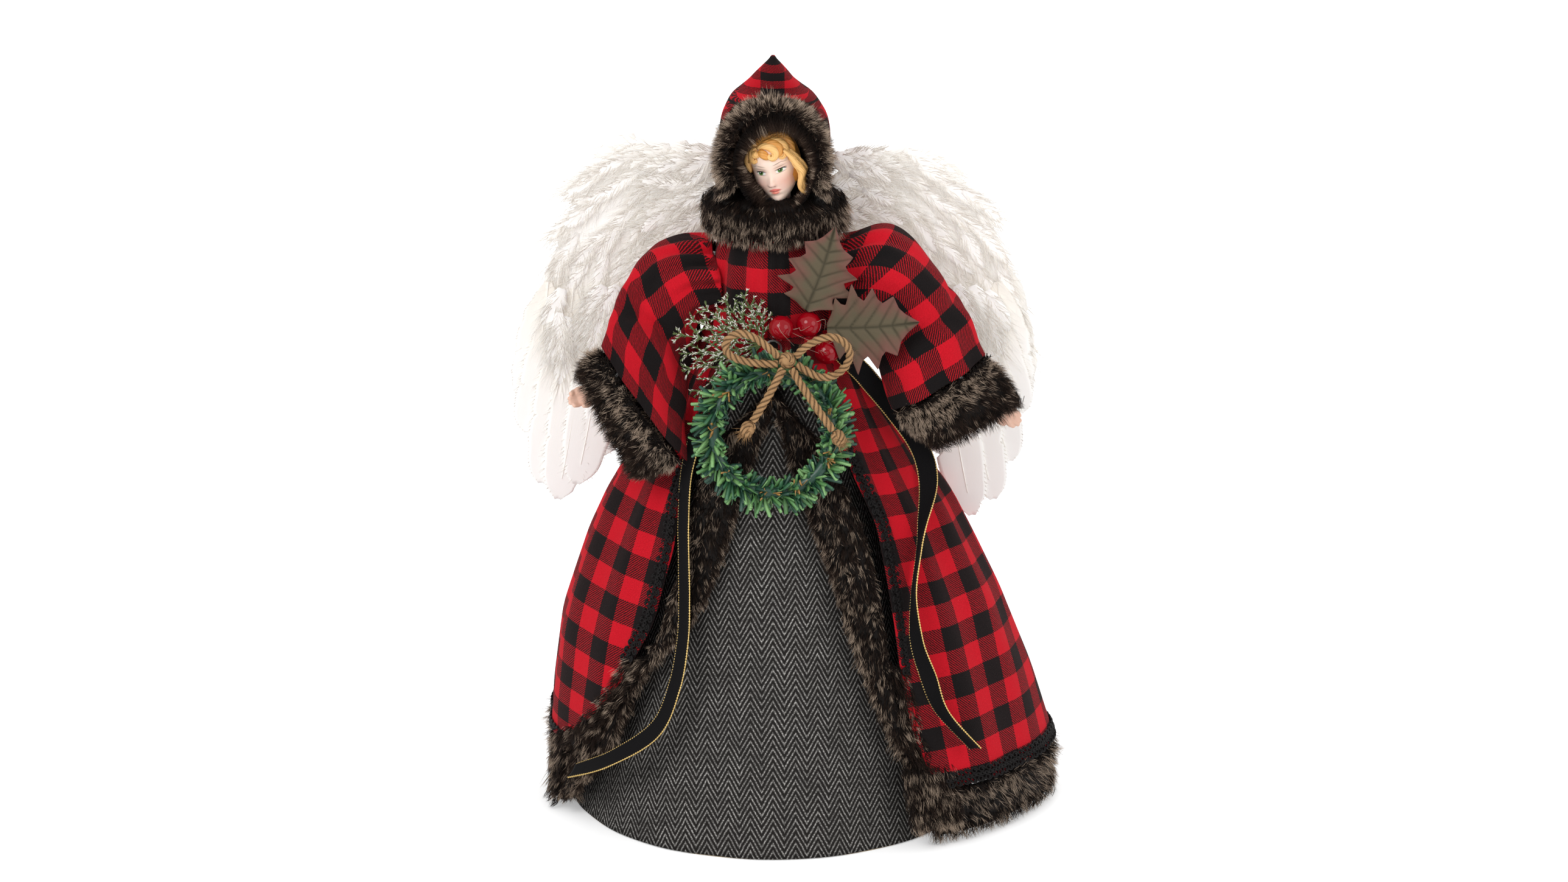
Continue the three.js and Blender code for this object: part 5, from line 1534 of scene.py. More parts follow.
def make_hood():
    """The pointed hood. Its check is drawn flat over the peak, so the rows lie as narrow arcs there."""
    rows, columns = 66, 110
    up = np.linspace(0, 1, rows)
    fine = smooth_rows(hood_shares, 400)
    wide, deep, back = [np.interp(up, fine[:, 0], fine[:, at]) * hood_width for at in (1, 2, 3)]
    part = np.linspace(0, 1, columns)[None]
    tall = up[:, None]

    def grid(shrink):
        half_wide = np.maximum(wide - shrink, 0.3 * mm)[:, None]
        half_deep = np.maximum(deep - shrink, 0.3 * mm)[:, None]
        edge = np.arccos(np.minimum(1, (back + hood_front) / deep))[:, None]
        angle = mix(edge, 2 * math.pi - edge, part)
        height = hood_base + hood_rise * tall - shrink * (tall ** 8)
        fold = 0.9 * mm * np.sin(angle * 3 + tall * 7) * ease(part, 0, 0.12) * ease(1 - part, 0, 0.12)
        proud = fold * (1 - ease(tall, 0.75, 1)) - 0.8 * mm * hump(angle, math.pi, 0.06)
        ahead = back[:, None] - (half_deep + proud) * np.cos(angle)
        return stacked((half_wide + proud) * np.sin(angle), ahead, height)

    outer = grid(0)
    reach = grid_reach(outer, 1)
    flat = outer[..., 0]
    front = ease(tall, 0.6, 0.72) * ease(np.abs(part - 0.5), 0.2, 0.3)
    level = mix(reach - reach[:, -1:] / 2, -flat, front)
    rise = np.hypot(np.diff(wide), np.diff(up) * hood_rise) * mix(1, 2.6, ease(up[1:], 0.5, 0.7))
    climb = np.concatenate([[0], np.cumsum(rise)])
    arch = front * (np.abs(flat) / hood_width) ** 2 * 9 * mm
    heap = Heap()
    heap.add_shell(outer, grid(1.6 * mm), stacked(level + 6 * mm, climb[:, None] + arch + 2.5 * mm))
    made = heap.piece("hood_cloth", plaid_material, "plaid", "doll", ["hood_shell"])
    lining = Heap()
    lined, backing = grid(2.2 * mm), grid(3.4 * mm)
    for rows_inside in (lined, backing):
        rows_inside[0, :, 2] -= 9 * mm
    lining.add_shell(lined, backing, None, (0.1, 0.2, 0))
    made = lining.piece("hood_lining", fur_material, "faux_fur", "doll")


make_hood()


# Head and hair

head_place = np.array((0.9, -11, 353.1)) * mm
head_half = np.array((12.4, 13.4, 18.6))
head_profile = [
    (-20.6, 0.6, 3.2, 3), (-20, 3.3, 8.6, 5), (-18.2, 5.7, 10.9, 6), (-14.5, 8.5, 12, 7.5),
    (-10.5, 10.4, 12.3, 9), (-6, 11.6, 12.6, 11), (0, 12.3, 13.2, 13), (6, 12.4, 13.2, 13.4),
    (12, 10.5, 10.6, 11.4), (16, 6.9, 6.6, 7.4), (18.6, 0.6, 0.6, 0.6),
]
fringe_locks = [
    [(-3.6, 12.6), (0, 13.2), (3.6, 11.6), (5.3, 8.7), (3.8, 6.7), (2, 7.6), (2.6, 9)],
    [(-3.2, 11.4), (-1.6, 10.2), (0.2, 8.2), (1.4, 6.9)],
    [(1, 15), (6, 13.6), (9, 10.4), (9.4, 7), (7.8, 5.6), (6.4, 6.8)],
    [(4, 15.6), (9.6, 12), (11.6, 7.5), (11.4, 3.6), (10.2, 2.6)],
    [(-1, 14.6), (4, 13.8), (7.2, 10.6), (7, 7.8), (5.6, 6.6)],
    [(-4, 12.4), (-6.6, 11), (-8.2, 8), (-6.9, 6), (-5.4, 7)],
    [(-4, 14.2), (-8.6, 11.8), (-10.8, 8.2), (-10.2, 5.2), (-8.8, 5.2)],
    [(-3.8, 11), (-5, 9.4), (-5, 7.8)],
    [(-6, 14), (-10.4, 10), (-11.8, 5.6), (-11.4, 2)],
    [(2, 16.4), (8, 14.8), (11.2, 10.8), (12.2, 6), (12, 1.5)],
    [(-2, 16), (-7.6, 14.6), (-11, 10.4), (-12, 6), (-11.8, 0)],
]


def head_axes():
    """Across towards the viewer's right, ahead out of the face, and up: a left-handed set."""
    roll, yaw, nod = math.radians(-15), math.radians(-11), math.radians(-8)
    ahead = np.array((math.sin(yaw) * math.cos(nod), -math.cos(yaw) * math.cos(nod), math.sin(nod)))
    level = unit(np.cross((0, 0, 1), ahead))
    up = np.cross(ahead, level)
    side = level * math.cos(roll) - up * math.sin(roll)
    return side, ahead, level * math.sin(roll) + up * math.cos(roll)


def turned_over(faces):
    """Faces seen from their other side, for points given in the head's left-handed set."""
    return [rows[:, ::-1] for rows in faces]


head_side, head_ahead, head_up = head_axes()


def from_head(points):
    """Points given across, ahead and up on the head, in millimetres, in the doll's frame."""
    points = np.asarray(points, float) * mm
    side, ahead, up = points[..., :1] * head_side, points[..., 1:2] * head_ahead, points[..., 2:3] * head_up
    return head_place + side + ahead + up


def make_head():
    """The porcelain head, from a profile of heights, half widths, and depths of the face and the back."""
    rows, columns = 130, 170
    fine = smooth_rows(head_profile, 600)
    low, high = head_profile[0][0], head_profile[-1][0]
    z = (low + high) / 2 + (high - low) / 2 * np.sin(np.linspace(-math.pi / 2, math.pi / 2, rows))
    half, face, back = [np.interp(z, fine[:, 0], fine[:, at])[:, None] for at in (1, 2, 3)]
    turn = np.linspace(-math.pi, math.pi, columns, endpoint=False)[None]
    z = z[:, None] + 0 * turn
    x = half * np.sin(turn)
    y = np.cos(turn) * np.where(np.cos(turn) > 0, face, back)
    front = ease(y, 0, 7)
    sides = np.abs(x)
    ahead = 0.3 * hump(z, 2.8, 2) * hump(sides, 5, 4)
    ahead -= 1.0 * hump(sides, 5.2, 2.4) * hump(z, -0.9, 1.9)
    ahead += 0.45 * hump(sides, 5.3, 1.7) * hump(z, -1.1, 1)
    ahead += 2 * hump(x, 0, 1.5) * ease(-z, 0.5, 8.3) * (1 - ease(-z, 8.3, 10))
    ahead += 0.7 * hump(sides, 1.4, 0.8) * hump(z, -8.3, 1)
    ahead += 0.5 * hump(sides, 6.2, 3.2) * hump(z, -8.2, 3.8)
    ahead += 0.7 * hump(x, 0, 2.3) * hump(z, -11.6, 0.85) + 0.8 * hump(x, 0, 1.9) * hump(z, -13.3, 0.9)
    ahead -= 0.45 * hump(x, 0, 3) * hump(z, -12.45, 0.38) + 0.4 * hump(x, 0, 4) * hump(z, -15.2, 0.8)
    ahead += 0.9 * hump(x, 0, 3) * hump(z, -18, 1.7)
    y = y + ahead * front
    bent = x + np.interp(z, (-20, -13, -8, -1), (-1.4, -0.9, -1.4, 0))
    points = from_head(stacked(bent, y, z)).reshape(-1, 3)
    poles = from_head(np.array([(-1.4, 1, low - 0.1), (0, 0, high + 0.1)]))
    unpainted = 100.0
    uv = stacked(x + np.where(y > 0, 0, unpainted), z).reshape(-1, 2)
    heap = Heap()
    heap.add(np.vstack([points, poles]), closed_faces(rows, columns), np.vstack([uv, [(unpainted, 0)] * 2]))
    neck = smooth_path(np.array([(1.5, -1, 315.5), (2.5, -3, 330), (3.5, -4, 345)]) * mm, 20)
    points, faces, _ = tube(neck, np.linspace(7.5, 5.8, 20) * mm, 28)
    heap.add(points, faces, np.full((len(points), 2), unpainted))
    heap.piece("face", face_material, "porcelain", "doll", ["head"])


def make_face_material():
    """Bisque skin with painted features, placed on the face's own map in millimetres."""
    material, tree, shader = finish(
        "Painted face", roughness=0.45, Subsurface_Weight=0.15, Subsurface_Scale=1.5 * mm,
        Specular_IOR_Level=0.3,
    )
    place = cloth_place(tree)
    tone = noise(tree, object_place(tree), 130.0, 3.0)
    colour = between(tree, tone, (0.88, 0.66, 0.54), (0.95, 0.76, 0.64))
    skin = (0.82, 0.58, 0.47)
    lash = (0.02, 0.01, 0.008)
    brow = (0.2, 0.11, 0.07)
    upper_lip = (0.72, 0.17, 0.14)
    rows = [((0, -10.5), (9, 5), 0, 0.9, (0.8, 0.52, 0.43), 0.3)]
    for sign in (-1, 1):
        eye = sign * 5.3
        rows += [
            ((sign * 6.6, -8.2), (3.8, 3.2), 0, 0.9, (0.76, 0.33, 0.26), 0.5),
            ((eye, -0.3), (3.3, 2), sign * 5, 0.6, (0.5, 0.3, 0.23), 0.45),
            ((eye, -1.4), (2.5, 1.15), sign * 5, 0.1, (0.8, 0.78, 0.75), 1),
            ((eye - 0.3, -1.25), (1.3, 1.3), 0, 0.1, (0.07, 0.2, 0.03), 1),
            ((eye - 0.3, -1.25), (0.62, 0.62), 0, 0.16, (0.004, 0.005, 0.004), 1),
            # The small white dot in each eye is a painted highlight.
            ((eye - 0.6, -0.95), (0.24, 0.24), 0, 0.3, (0.9, 0.9, 0.9), 1),
            ((eye, 0.25), (2.9, 0.85), sign * 5, 0.1, skin, 1),
            ((eye, -0.5), (2.6, 0.36), sign * 4, 0.35, lash, 1),
            ((eye + sign * 2.1, -0.75), (0.9, 0.3), sign * -22, 0.4, lash, 0.9),
            ((eye, 1.0), (2.6, 0.2), sign * 5, 0.5, (0.3, 0.15, 0.1), 0.7),
            ((eye, -2.5), (2.1, 0.2), sign * 3, 0.6, (0.22, 0.1, 0.07), 0.7),
            ((sign * 4.6, 3.0), (2.2, 0.26), sign * 12, 0.5, brow, 0.7),
            ((sign * 7.6, 3.0), (1.6, 0.2), sign * -16, 0.5, brow, 0.6),
            ((sign * 1.0, -9.4), (0.5, 0.34), 0, 0.5, (0.38, 0.14, 0.1), 0.85),
        ]
    rows += [
        ((-1.15, -11.7), (2, 0.75), 14, 0.25, upper_lip, 0.95),
        ((1.15, -11.7), (2, 0.75), -14, 0.25, upper_lip, 0.95),
        ((0, -13.15), (2.2, 0.95), 0, 0.25, (0.8, 0.25, 0.19), 0.95),
        ((0, -12.45), (2.7, 0.18), 0, 0.6, (0.26, 0.03, 0.03), 0.85),
    ]
    for centre, half, turn, soft, paint, strength in rows:
        moved = put(tree, "Mapping", {
            "Vector": place, "Location": (*centre, 0), "Rotation": (0, 0, math.radians(turn)),
            "Scale": (*half, 1),
        }, vector_type="TEXTURE")
        flat = put(tree, "VectorMath", {0: moved.outputs[0], 1: (1, 1, 0)}, operation="MULTIPLY")
        far = put(tree, "VectorMath", {0: flat.outputs[0]}, operation="LENGTH").outputs["Value"]
        mask = remap(tree, far, 1 - soft, 1 + soft, strength, 0.0)
        colour = between(tree, mask, colour, paint)
    surface(tree, shader, colour)
    return material


def on_head(across, up, lift):
    """A place on the head's skin, raised by a lift, from its place as seen from the front."""
    inside = 1 - (across / head_half[0]) ** 2 - (up / head_half[2]) ** 2
    ahead = head_half[1] * math.sqrt(max(inside, 0.02))
    return across, ahead + lift, up


def make_lock(heap, rows, thick, chance, lift=1.2):
    """A moulded lock of hair: a grooved tube that swells and tapers along a path over the head."""
    path = smooth_path([row if len(row) == 3 else on_head(*row, lift) for row in rows], 40)
    part = np.linspace(0, 1, 40)
    size = thick * (0.4 + 0.75 * np.sin(np.clip(part * 1.02, 0, 1) * math.pi) ** 0.7)
    points, faces, uv = tube(path, size, 16, 0.3, 5, 0.12, 0.8)
    heap.add(from_head(points), turned_over(faces), uv, (0.5 + 0.4 * chance, chance, 0.6))


def make_hair():
    """A cap under moulded locks: the fringe, ten down the right side and six down the left."""
    heap = Heap()
    points, faces = ball((0, 0, 0), head_half + 1.1, 40, 26)
    back = 1 - ease(points[:, 1], 2, 7) * (1 - ease(points[:, 2], 11, 14))
    points = points * mix(0.84, 1, back)[:, None]
    points[:, 2] = np.maximum(points[:, 2], -13)
    heap.add(from_head(points), turned_over(faces), None, (0.4, 0.4, 0.3))
    for rows in fringe_locks:
        make_lock(heap, rows, rng.uniform(1.9, 2.4), rng.random())
    for at in range(10):
        aside = rng.uniform(-1.3, 1.3)
        ahead = mix(10.5, 4, at / 9)
        rows = [
            (9.5, ahead, 9), (11.9 + aside * 0.5, ahead, 4.5), (13.4 + aside, ahead, 0),
            (14.9 + aside, ahead, -5), (13.6 - aside * 0.4, ahead, -10), (12.8 - aside, ahead - 0.5, -14.5),
            (13.6 + aside, ahead - 1, -19),
        ]
        make_lock(heap, rows, rng.uniform(1.3, 1.7), rng.random())
    for at in range(6):
        ahead = mix(7.5, 0, at / 5)
        rows = [(-8, ahead, 12), (-11.4, ahead, 7), (-12.4, ahead, 3), (-12, ahead, -1.5)]
        make_lock(heap, rows, rng.uniform(1.4, 1.8), rng.random())
    heap.piece("curls", hair_material, "hair", "doll", ["hair"])


face_material = make_face_material()
make_head()
make_hair()


# Wings

wing_base = 141 * mm
wing_height = 207 * mm
wing_span = 130 * mm
down_front = 35.3 * mm
feather_width = 15 * mm
plumes_by_hood = 58
plumes_over_feathers = 36
barb_width = 0.34 * mm
down_outlines = {
    "left": [
        (0.3, 0.874), (0.36, 0.941), (0.51, 1), (0.66, 0.958), (0.75, 0.866), (0.83, 0.773), (0.89, 0.647),
        (0.94, 0.546), (0.96, 0.428), (0.93, 0.328), (0.8, 0.328), (0.66, 0.428), (0.5, 0.529), (0.4, 0.647),
        (0.32, 0.765),
    ],
    "right": [
        (0.31, 0.874), (0.38, 0.933), (0.5, 0.975), (0.64, 0.958), (0.75, 0.899), (0.85, 0.807),
        (0.93, 0.706), (0.98, 0.597), (1.01, 0.479), (0.95, 0.361), (0.82, 0.328), (0.68, 0.428),
        (0.52, 0.529), (0.42, 0.647), (0.33, 0.765),
    ],
}
feather_shares = {
    "left": [
        (0.86, 0.496, 0.985, 0.218), (0.82, 0.479, 0.93, 0.084), (0.76, 0.479, 0.865, 0.042),
        (0.68, 0.496, 0.79, 0.084), (0.6, 0.529, 0.7, 0.159),
    ],
    "right": [
        (0.86, 0.496, 0.99, 0.269), (0.82, 0.462, 0.95, 0.143), (0.76, 0.462, 0.885, 0.042),
        (0.68, 0.479, 0.8, 0), (0.6, 0.529, 0.7, 0.159),
    ],
}
short_feather_shares = [
    (0.9, 0.62, 0.985, 0.3), (0.8, 0.6, 0.9, 0.16), (0.7, 0.62, 0.82, 0.12), (0.62, 0.62, 0.75, 0.2),
]
blade_shares = [
    (0, 0.12), (0.08, 0.42), (0.2, 0.8), (0.4, 1), (0.7, 0.97), (0.88, 0.74), (0.96, 0.42), (1, 0.06),
]


def wing_point(side, out, up, plane):
    return np.array((side_sign[side] * out * wing_span, plane, wing_base + up * wing_height))


def add_feather(heap, root, tip, half, bow):
    """A smooth feather: two vanes that rise a little from a bowed quill."""
    rows, split = 46, 0.07
    part = np.linspace(0, 1, rows)
    long = unit(tip - root)
    across = unit(np.cross(long, (0, 1, 0)))
    path = root + (tip - root) * part[:, None] + across * (bow * np.sin(part * math.pi))[:, None]
    path[:, 1] -= 1.2 * mm * np.sin(part * math.pi)
    wide = curve(blade_shares, part, 0.03) * half
    reach = np.linalg.norm(tip - root)
    steps = np.linspace(-1, 1, 13)
    ragged = rng.normal(size=(rows, 2)) * split * 0.35
    for _ in range(2):
        ragged[1:-1] = (ragged[:-2] + ragged[2:] + 2 * ragged[1:-1]) / 4
    for side in (0, 1):
        for notch in rng.uniform(0.35, 0.97, 2):
            ragged[:, side] -= hump(part, notch, 0.012) * rng.uniform(0.05, 0.25)
    edge = np.where(steps[None] < 0, 1 + ragged[:, :1], 1 + ragged[:, 1:])
    aside = steps[None] * edge * wide[:, None]
    lift = 0.4 * mm * (1 - np.abs(steps[None])) ** 0.8 * np.sin(np.clip(part * 1.2, 0, 1) * math.pi)[:, None]
    slope = np.abs(aside) * 0.45 * ease(part, 0, 0.2)[:, None]
    grid = path[:, None] + across * aside[..., None] + long * slope[..., None] * 0.6
    grid[..., 1] -= lift
    along = part[:, None]
    heap.add_shell(grid, grid + np.array((0, 0.25 * mm, 0)), stacked(aside, along * reach),
                   stacked(along + 0 * aside, 0.75, 0.6))
    quill = path[: int(rows * 0.9)] + np.array((0, -0.35 * mm, 0))
    heap.add(*tube(quill, np.linspace(0.4, 0.12, len(quill)) * mm, 6), (0.3, 0.1, 0.0))
    count = 220
    at = rng.integers(4, rows - 1, count)
    column = rng.choice((0, 12), count)
    away = unit(grid[at, column] - path[at]) + long * 0.9
    sizes = rng.uniform(1.5, 4.5, count) * mm
    lean = unit(away + rng.normal(size=(count, 3)) * 0.15)
    roots = grid[at, column] - away * 0.5 * mm
    bend = rng.normal(size=(count, 3)) * 0.1
    heap.add(*strands(roots, lean, sizes, 0.24 * mm, bend, rng.random(count), 0.6, 1))


def wing_comb(side):
    """The way that the down lies: out along the top, then down towards the long feathers."""
    def comb(roots):
        out = np.abs(roots[..., :1]) / wing_span
        up = (roots[..., 2:] - wing_base) / wing_height
        lean = np.radians(mix(66, 8, ease(1 - up, 0.0, 0.6))) - 0.12 * (out - 0.6)
        return np.concatenate([side_sign[side] * np.sin(lean), 0 * lean, -np.cos(lean)], axis=-1)
    return comb


def add_plume(heap, root, along, reach, half, barbs, fluff, facing=-1):
    """A down feather: a soft flat vane with long fluffy barbs over it and round its edge."""
    part = np.linspace(0, 1, 7)
    steps = np.linspace(-1, 1, 5)
    across = unit(np.cross(along, (0, 1, 0)))
    front = np.cross(across, along)
    front = front * np.sign(front[1]) * facing
    droop = np.array((0, 0, -1)) * reach * rng.uniform(0, 0.18)
    twist = across * reach * rng.uniform(-0.16, 0.16)
    path = root + np.outer(part, along * reach) + np.outer(part ** 2, droop + twist)
    path = path + np.outer(np.sin(part * math.pi), front * 0.5 * mm)
    wide = half * np.interp(part, (0, 0.25, 0.6, 0.85, 1), (0.35, 0.9, 1, 0.72, 0.2))
    wide = wide * (1 + rng.normal(size=len(part)) * 0.06)
    aside = steps[None] * wide[:, None]
    grid = path[:, None] + aside[..., None] * across - front * (aside ** 2 / half * 0.12)[..., None]
    uv = stacked(aside + rng.uniform(0, 1), part[:, None] * reach)
    heap.add_shell(grid, grid - front * 0.25 * mm, uv, (0.75, rng.uniform(0.4, 1), 0.6))
    place = rng.uniform(0.05, 1, barbs)
    sides = rng.choice((-1, 1), barbs)
    roots = stacked(*[np.interp(place, part, path[:, axis]) for axis in range(3)])
    roots = roots + across * (sides * np.interp(place, part, wide) * rng.uniform(0, 0.9, barbs))[:, None]
    fan = mix(0.8, 0.25, place)[:, None] * sides[:, None]
    rise = front * rng.uniform(0, 0.12, (barbs, 1))
    lean = unit(across * fan + along * 0.9 + rng.normal(size=(barbs, 3)) * (0.18, 0.05, 0.18) + rise)
    bend = along * rng.uniform(0, 0.5, (barbs, 1)) + np.array((0, 0, -0.15))
    bend = bend + rng.normal(size=(barbs, 3)) * (0.2, 0.05, 0.2)
    sizes = fluff * rng.uniform(0.5, 1.2, barbs)
    heap.add(*strands(roots, lean, sizes, barb_width, bend, rng.random(barbs), 0.6))


def add_wisps(heap, side):
    """Long loose barbs that stand off the down along its edge."""
    count = 900
    outline = smooth_path(np.array(down_outlines[side] + down_outlines[side][:1]), 300)
    spots = outline[rng.integers(0, 299, count)]
    away = unit(spots - outline.mean(axis=0))
    depth = rng.uniform(36, 46, count) * mm
    sign = side_sign[side]
    roots = stacked(sign * spots[:, 0] * wing_span, depth, wing_base + spots[:, 1] * wing_height)
    out = stacked(sign * away[:, 0], 0, away[:, 1])
    roots = roots - out * 4 * mm
    stray = out * rng.uniform(0, 0.8, (count, 1)) + rng.normal(size=(count, 3)) * 0.25
    along = unit(wing_comb(side)(roots) + stray)
    bend = rng.normal(size=(count, 3)) * 0.3
    sizes = rng.uniform(8, 15, count) * mm
    heap.add(*strands(roots, along, sizes, 0.3 * mm, bend, rng.random(count), 0.6, 3))


def inside_outline(outline, points):
    """Which points lie inside a closed outline, by counting the edges to one side of each."""
    after = np.roll(outline, -1, axis=0)
    x, y = points[:, None, 0], points[:, None, 1]
    crossed = (outline[:, 1] > y) != (after[:, 1] > y)
    rise = np.where(after[:, 1] == outline[:, 1], 1, after[:, 1] - outline[:, 1])
    reach = outline[:, 0] + (y - outline[:, 1]) / rise * (after - outline)[:, 0]
    return np.sum(crossed & (reach > x), axis=1) % 2 == 1


def spread_spots(outline, gap):
    """Spots inside an outline, no two nearer than a gap, the lowest first."""
    picked = rng.uniform((0.28, 0.3), (1.02, 1.0), (1400, 2))
    picked = picked[inside_outline(outline, picked)]
    chosen = []
    for spot in picked:
        if all(np.hypot(*(spot - other) * (0.9, 1)) > gap for other in chosen):
            chosen.append(spot)
    return sorted(chosen, key=lambda spot: spot[1])


def make_wing(side):
    """Plumes over the packed down, front and back, and long feathers with plumes over their roots."""
    sign = side_sign[side]
    outline = np.array(down_outlines[side])
    comb = wing_comb(side)
    heap = Heap()
    for gap, first, last, barbs, facing in ((0.055, 3.2, 0.2, 62, -1), (0.08, 10, 12.4, 40, 1)):
        for out, up in spread_spots(outline, gap):
            plane = down_front + mix(first, last, min(1, rng.uniform(0, 0.35) + up * 0.75)) * mm
            root = wing_point(side, out, up, plane)
            along = unit(comb(root) + rng.normal(size=3) * (0.16, 0.03, 0.16))
            long, half = rng.uniform(22, 33) * mm, rng.uniform(3.2, 5) * mm
            add_plume(heap, root - along * 8 * mm, along, long, half, barbs, 12 * mm, facing)
    for _ in range(plumes_by_hood):
        root = wing_point(side, rng.uniform(0.2, 0.4), rng.uniform(0.68, 0.98), rng.uniform(29.5, 33) * mm)
        along = unit(np.array((sign * 0.75, rng.uniform(-0.1, 0.1), rng.uniform(-0.5, 0.35))))
        add_plume(heap, root - along * 3 * mm, along, rng.uniform(18, 25) * mm, 4 * mm, 50, 10 * mm)
    add_wisps(heap, side)
    heap.add(*shrunk_solid(f"{side}_wing_down", 2 * mm), None, (0.7, 0.7, 0.6))
    made = heap.piece(f"wing_down_{side}", down_material, "down", "doll", [f"{side}_wing_down"])
    long_feathers = Heap()
    layers = ((feather_shares[side], 34.6, -0.5, 0.06, 2), (short_feather_shares, 35.4, 0.5, 0, 1.5))
    for rows, first, step, raised, bow in layers:
        for number, (root_out, root_up, tip_out, tip_up) in enumerate(rows):
            plane = (first + step * number) * mm
            root = wing_point(side, root_out, root_up + raised, plane)
            tip = wing_point(side, tip_out, tip_up, plane)
            add_feather(long_feathers, root, tip, feather_width * 0.86, -bow * mm * sign)
    for _ in range(plumes_over_feathers):
        out, up = rng.uniform(0.6, 0.87), rng.uniform(0.48, 0.62)
        root = wing_point(side, out, up, rng.uniform(31.6, 33) * mm)
        along = unit(comb(root) + rng.normal(size=3) * (0.14, 0.02, 0.14))
        long, half = rng.uniform(17, 25) * mm, rng.uniform(4, 6) * mm
        add_plume(long_feathers, root, along, long, half, 60, 11 * mm)
    feathers = [f"{side}_wing_feather_{number + 1}" for number in range(5)]
    long_feathers.piece(f"wing_feathers_{side}", blade_material, "feather", "doll", feathers)


for side in side_sign:
    make_wing(side)


# Wreath


def film_strips(roots, along, across, length, width, thick, bend):
    """Thin four-sided strips, each a closed form with a pointed end."""
    count = len(roots)
    facing = unit(np.cross(along, across))
    length = np.broadcast_to(length, count)[:, None]
    layers = []
    stations = ((0, 0.6), (0.5, 1), (0.97, 0.85))
    for part, wide in stations:
        centre = roots + length * (along * part + bend * part ** 2)
        for aside, over in ((1, 0), (0, 1), (-1, 0), (0, -1)):
            layers.append(centre + across * aside * width * wide / 2 + facing * over * thick / 2)
    layers.append(roots + length * (along + bend))
    return np.stack(layers, axis=1).reshape(-1, 3), [spike_faces(count, len(stations), 4)], len(layers)


def on_ring(angle):
    """Places on a circle of unit size, flat on the ground."""
    return stacked(np.cos(angle), np.sin(angle), 0)


def make_wreath():
    """Flat film needles that stand out of a wound core, most of them swept one way round."""
    count = 860
    around_ring = rng.uniform(0, 2 * math.pi, count)
    section = rng.uniform(0, 2 * math.pi, count)
    radial = on_ring(around_ring)
    tangent = stacked(-np.sin(around_ring), np.cos(around_ring), 0)
    out = radial * np.cos(section)[:, None] + np.array((0, 0, 1)) * np.sin(section)[:, None]
    roots = radial * (wreath_radius + 1 * mm) + out * 1.2 * mm
    sweep = rng.uniform(0.1, 1.0, (count, 1)) * np.where(rng.random((count, 1)) < 0.85, 1, -0.6)
    along = unit(out + radial * 0.2 + tangent * sweep + rng.normal(size=(count, 3)) * 0.2)
    facing = unit(np.array((0, 0, 1)) + rng.normal(size=(count, 3)) * 0.5)
    across = unit(np.cross(along, facing))
    sizes = rng.uniform(8.6, 12.6, count) * mm * mix(1, 0.74, ease(-np.cos(section), 0.2, 1))
    bend = rng.normal(size=(count, 3)) * 0.07
    width = rng.uniform(1.9, 2.6, (count, 1)) * mm
    needles = film_strips(roots, along, across, sizes, width, 0.28 * mm, bend)
    chance = rng.uniform(0, 0.94, count)
    bits = 46
    spots = rng.uniform(0, 2 * math.pi, 9)[rng.integers(0, 9, bits)] + rng.normal(size=bits) * 0.07
    lean = unit(rng.normal(size=(bits, 3)) + (0, 0, 0.7))
    rise = np.array((0, 0, 5.5)) * mm * rng.uniform(0.5, 1.2, (bits, 1))
    turned = unit(np.cross(lean, rng.normal(size=(bits, 3))))
    long = rng.uniform(3, 5, bits) * mm
    bend = rng.normal(size=(bits, 3)) * 0.3
    scraps = film_strips(on_ring(spots) * wreath_radius + rise, lean, turned, long, 1.3 * mm, 0.4 * mm, bend)
    heap = Heap()
    for (points, faces, size), chances in ((needles, chance), (scraps, np.full(bits, 0.98))):
        heap.add(wreath_turned(points), faces, None, stacked(0, np.repeat(chances, size), 0))
    core = on_ring(np.linspace(0, 2 * math.pi, 96, endpoint=False)) * wreath_radius
    points, faces = core_ring(core, 3 * mm)
    heap.add(wreath_turned(points), faces, None, (0, 0.1, 0))
    heap.piece("garland_needles", needle_material, "garland", "wreath", ["wreath"])


def core_ring(path, radius):
    """A closed ring of a round section along a path of points."""
    turns = 12
    count = len(path)
    angle = np.linspace(0, 2 * math.pi, turns, endpoint=False)[None, :, None]
    spokes = np.cos(angle) * unit(path)[:, None] + np.sin(angle) * np.array((0, 0, 1))
    points = path[:, None] + radius * spokes
    row = np.arange(count)[:, None] * turns
    after_row = np.roll(row, -1, axis=0)
    column = np.arange(turns)[None]
    after = (column + 1) % turns
    faces = stacked(row + column, after_row + column, after_row + after, row + after).reshape(-1, 4)
    return points.reshape(-1, 3), [faces]


def wreath_turned(points):
    """Points of the flat wreath, stood up at its place and leaning back."""
    points = np.asarray(points, float)
    up = np.array((0, math.sin(wreath_tilt), math.cos(wreath_tilt)))
    front = np.array((0, -math.cos(wreath_tilt), math.sin(wreath_tilt)))
    level = points[..., :1] * np.array((1, 0, 0))
    return wreath_place + level + points[..., 1:2] * up + points[..., 2:3] * front


make_wreath()


# Berries, leaves and sprig


def make_berries():
    glue = Heap()
    for number in (1, 2, 3):
        low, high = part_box(f"berry_{number}")
        centre = np.array((low + high) / 2)
        heap = Heap()
        heap.add(*ball(centre, np.full(3, berry_radius), 40, 26))
        heap.piece(f"berry_bead_{number}", berry_material, "berry", "doll", [f"berry_{number}"])
        for _ in range(3):
            start = centre + unit((rng.normal(), -0.4, rng.normal())) * berry_radius * 0.98
            path = [start, start + rng.normal(size=3) * 3 * mm, start + rng.normal(size=3) * 6 * mm]
            glue.add(*tube(smooth_path(path, 14), np.linspace(0.1, 0.05, 14) * mm, 5))
    glue.piece("glue_strings", glue_material, "berry", "doll")


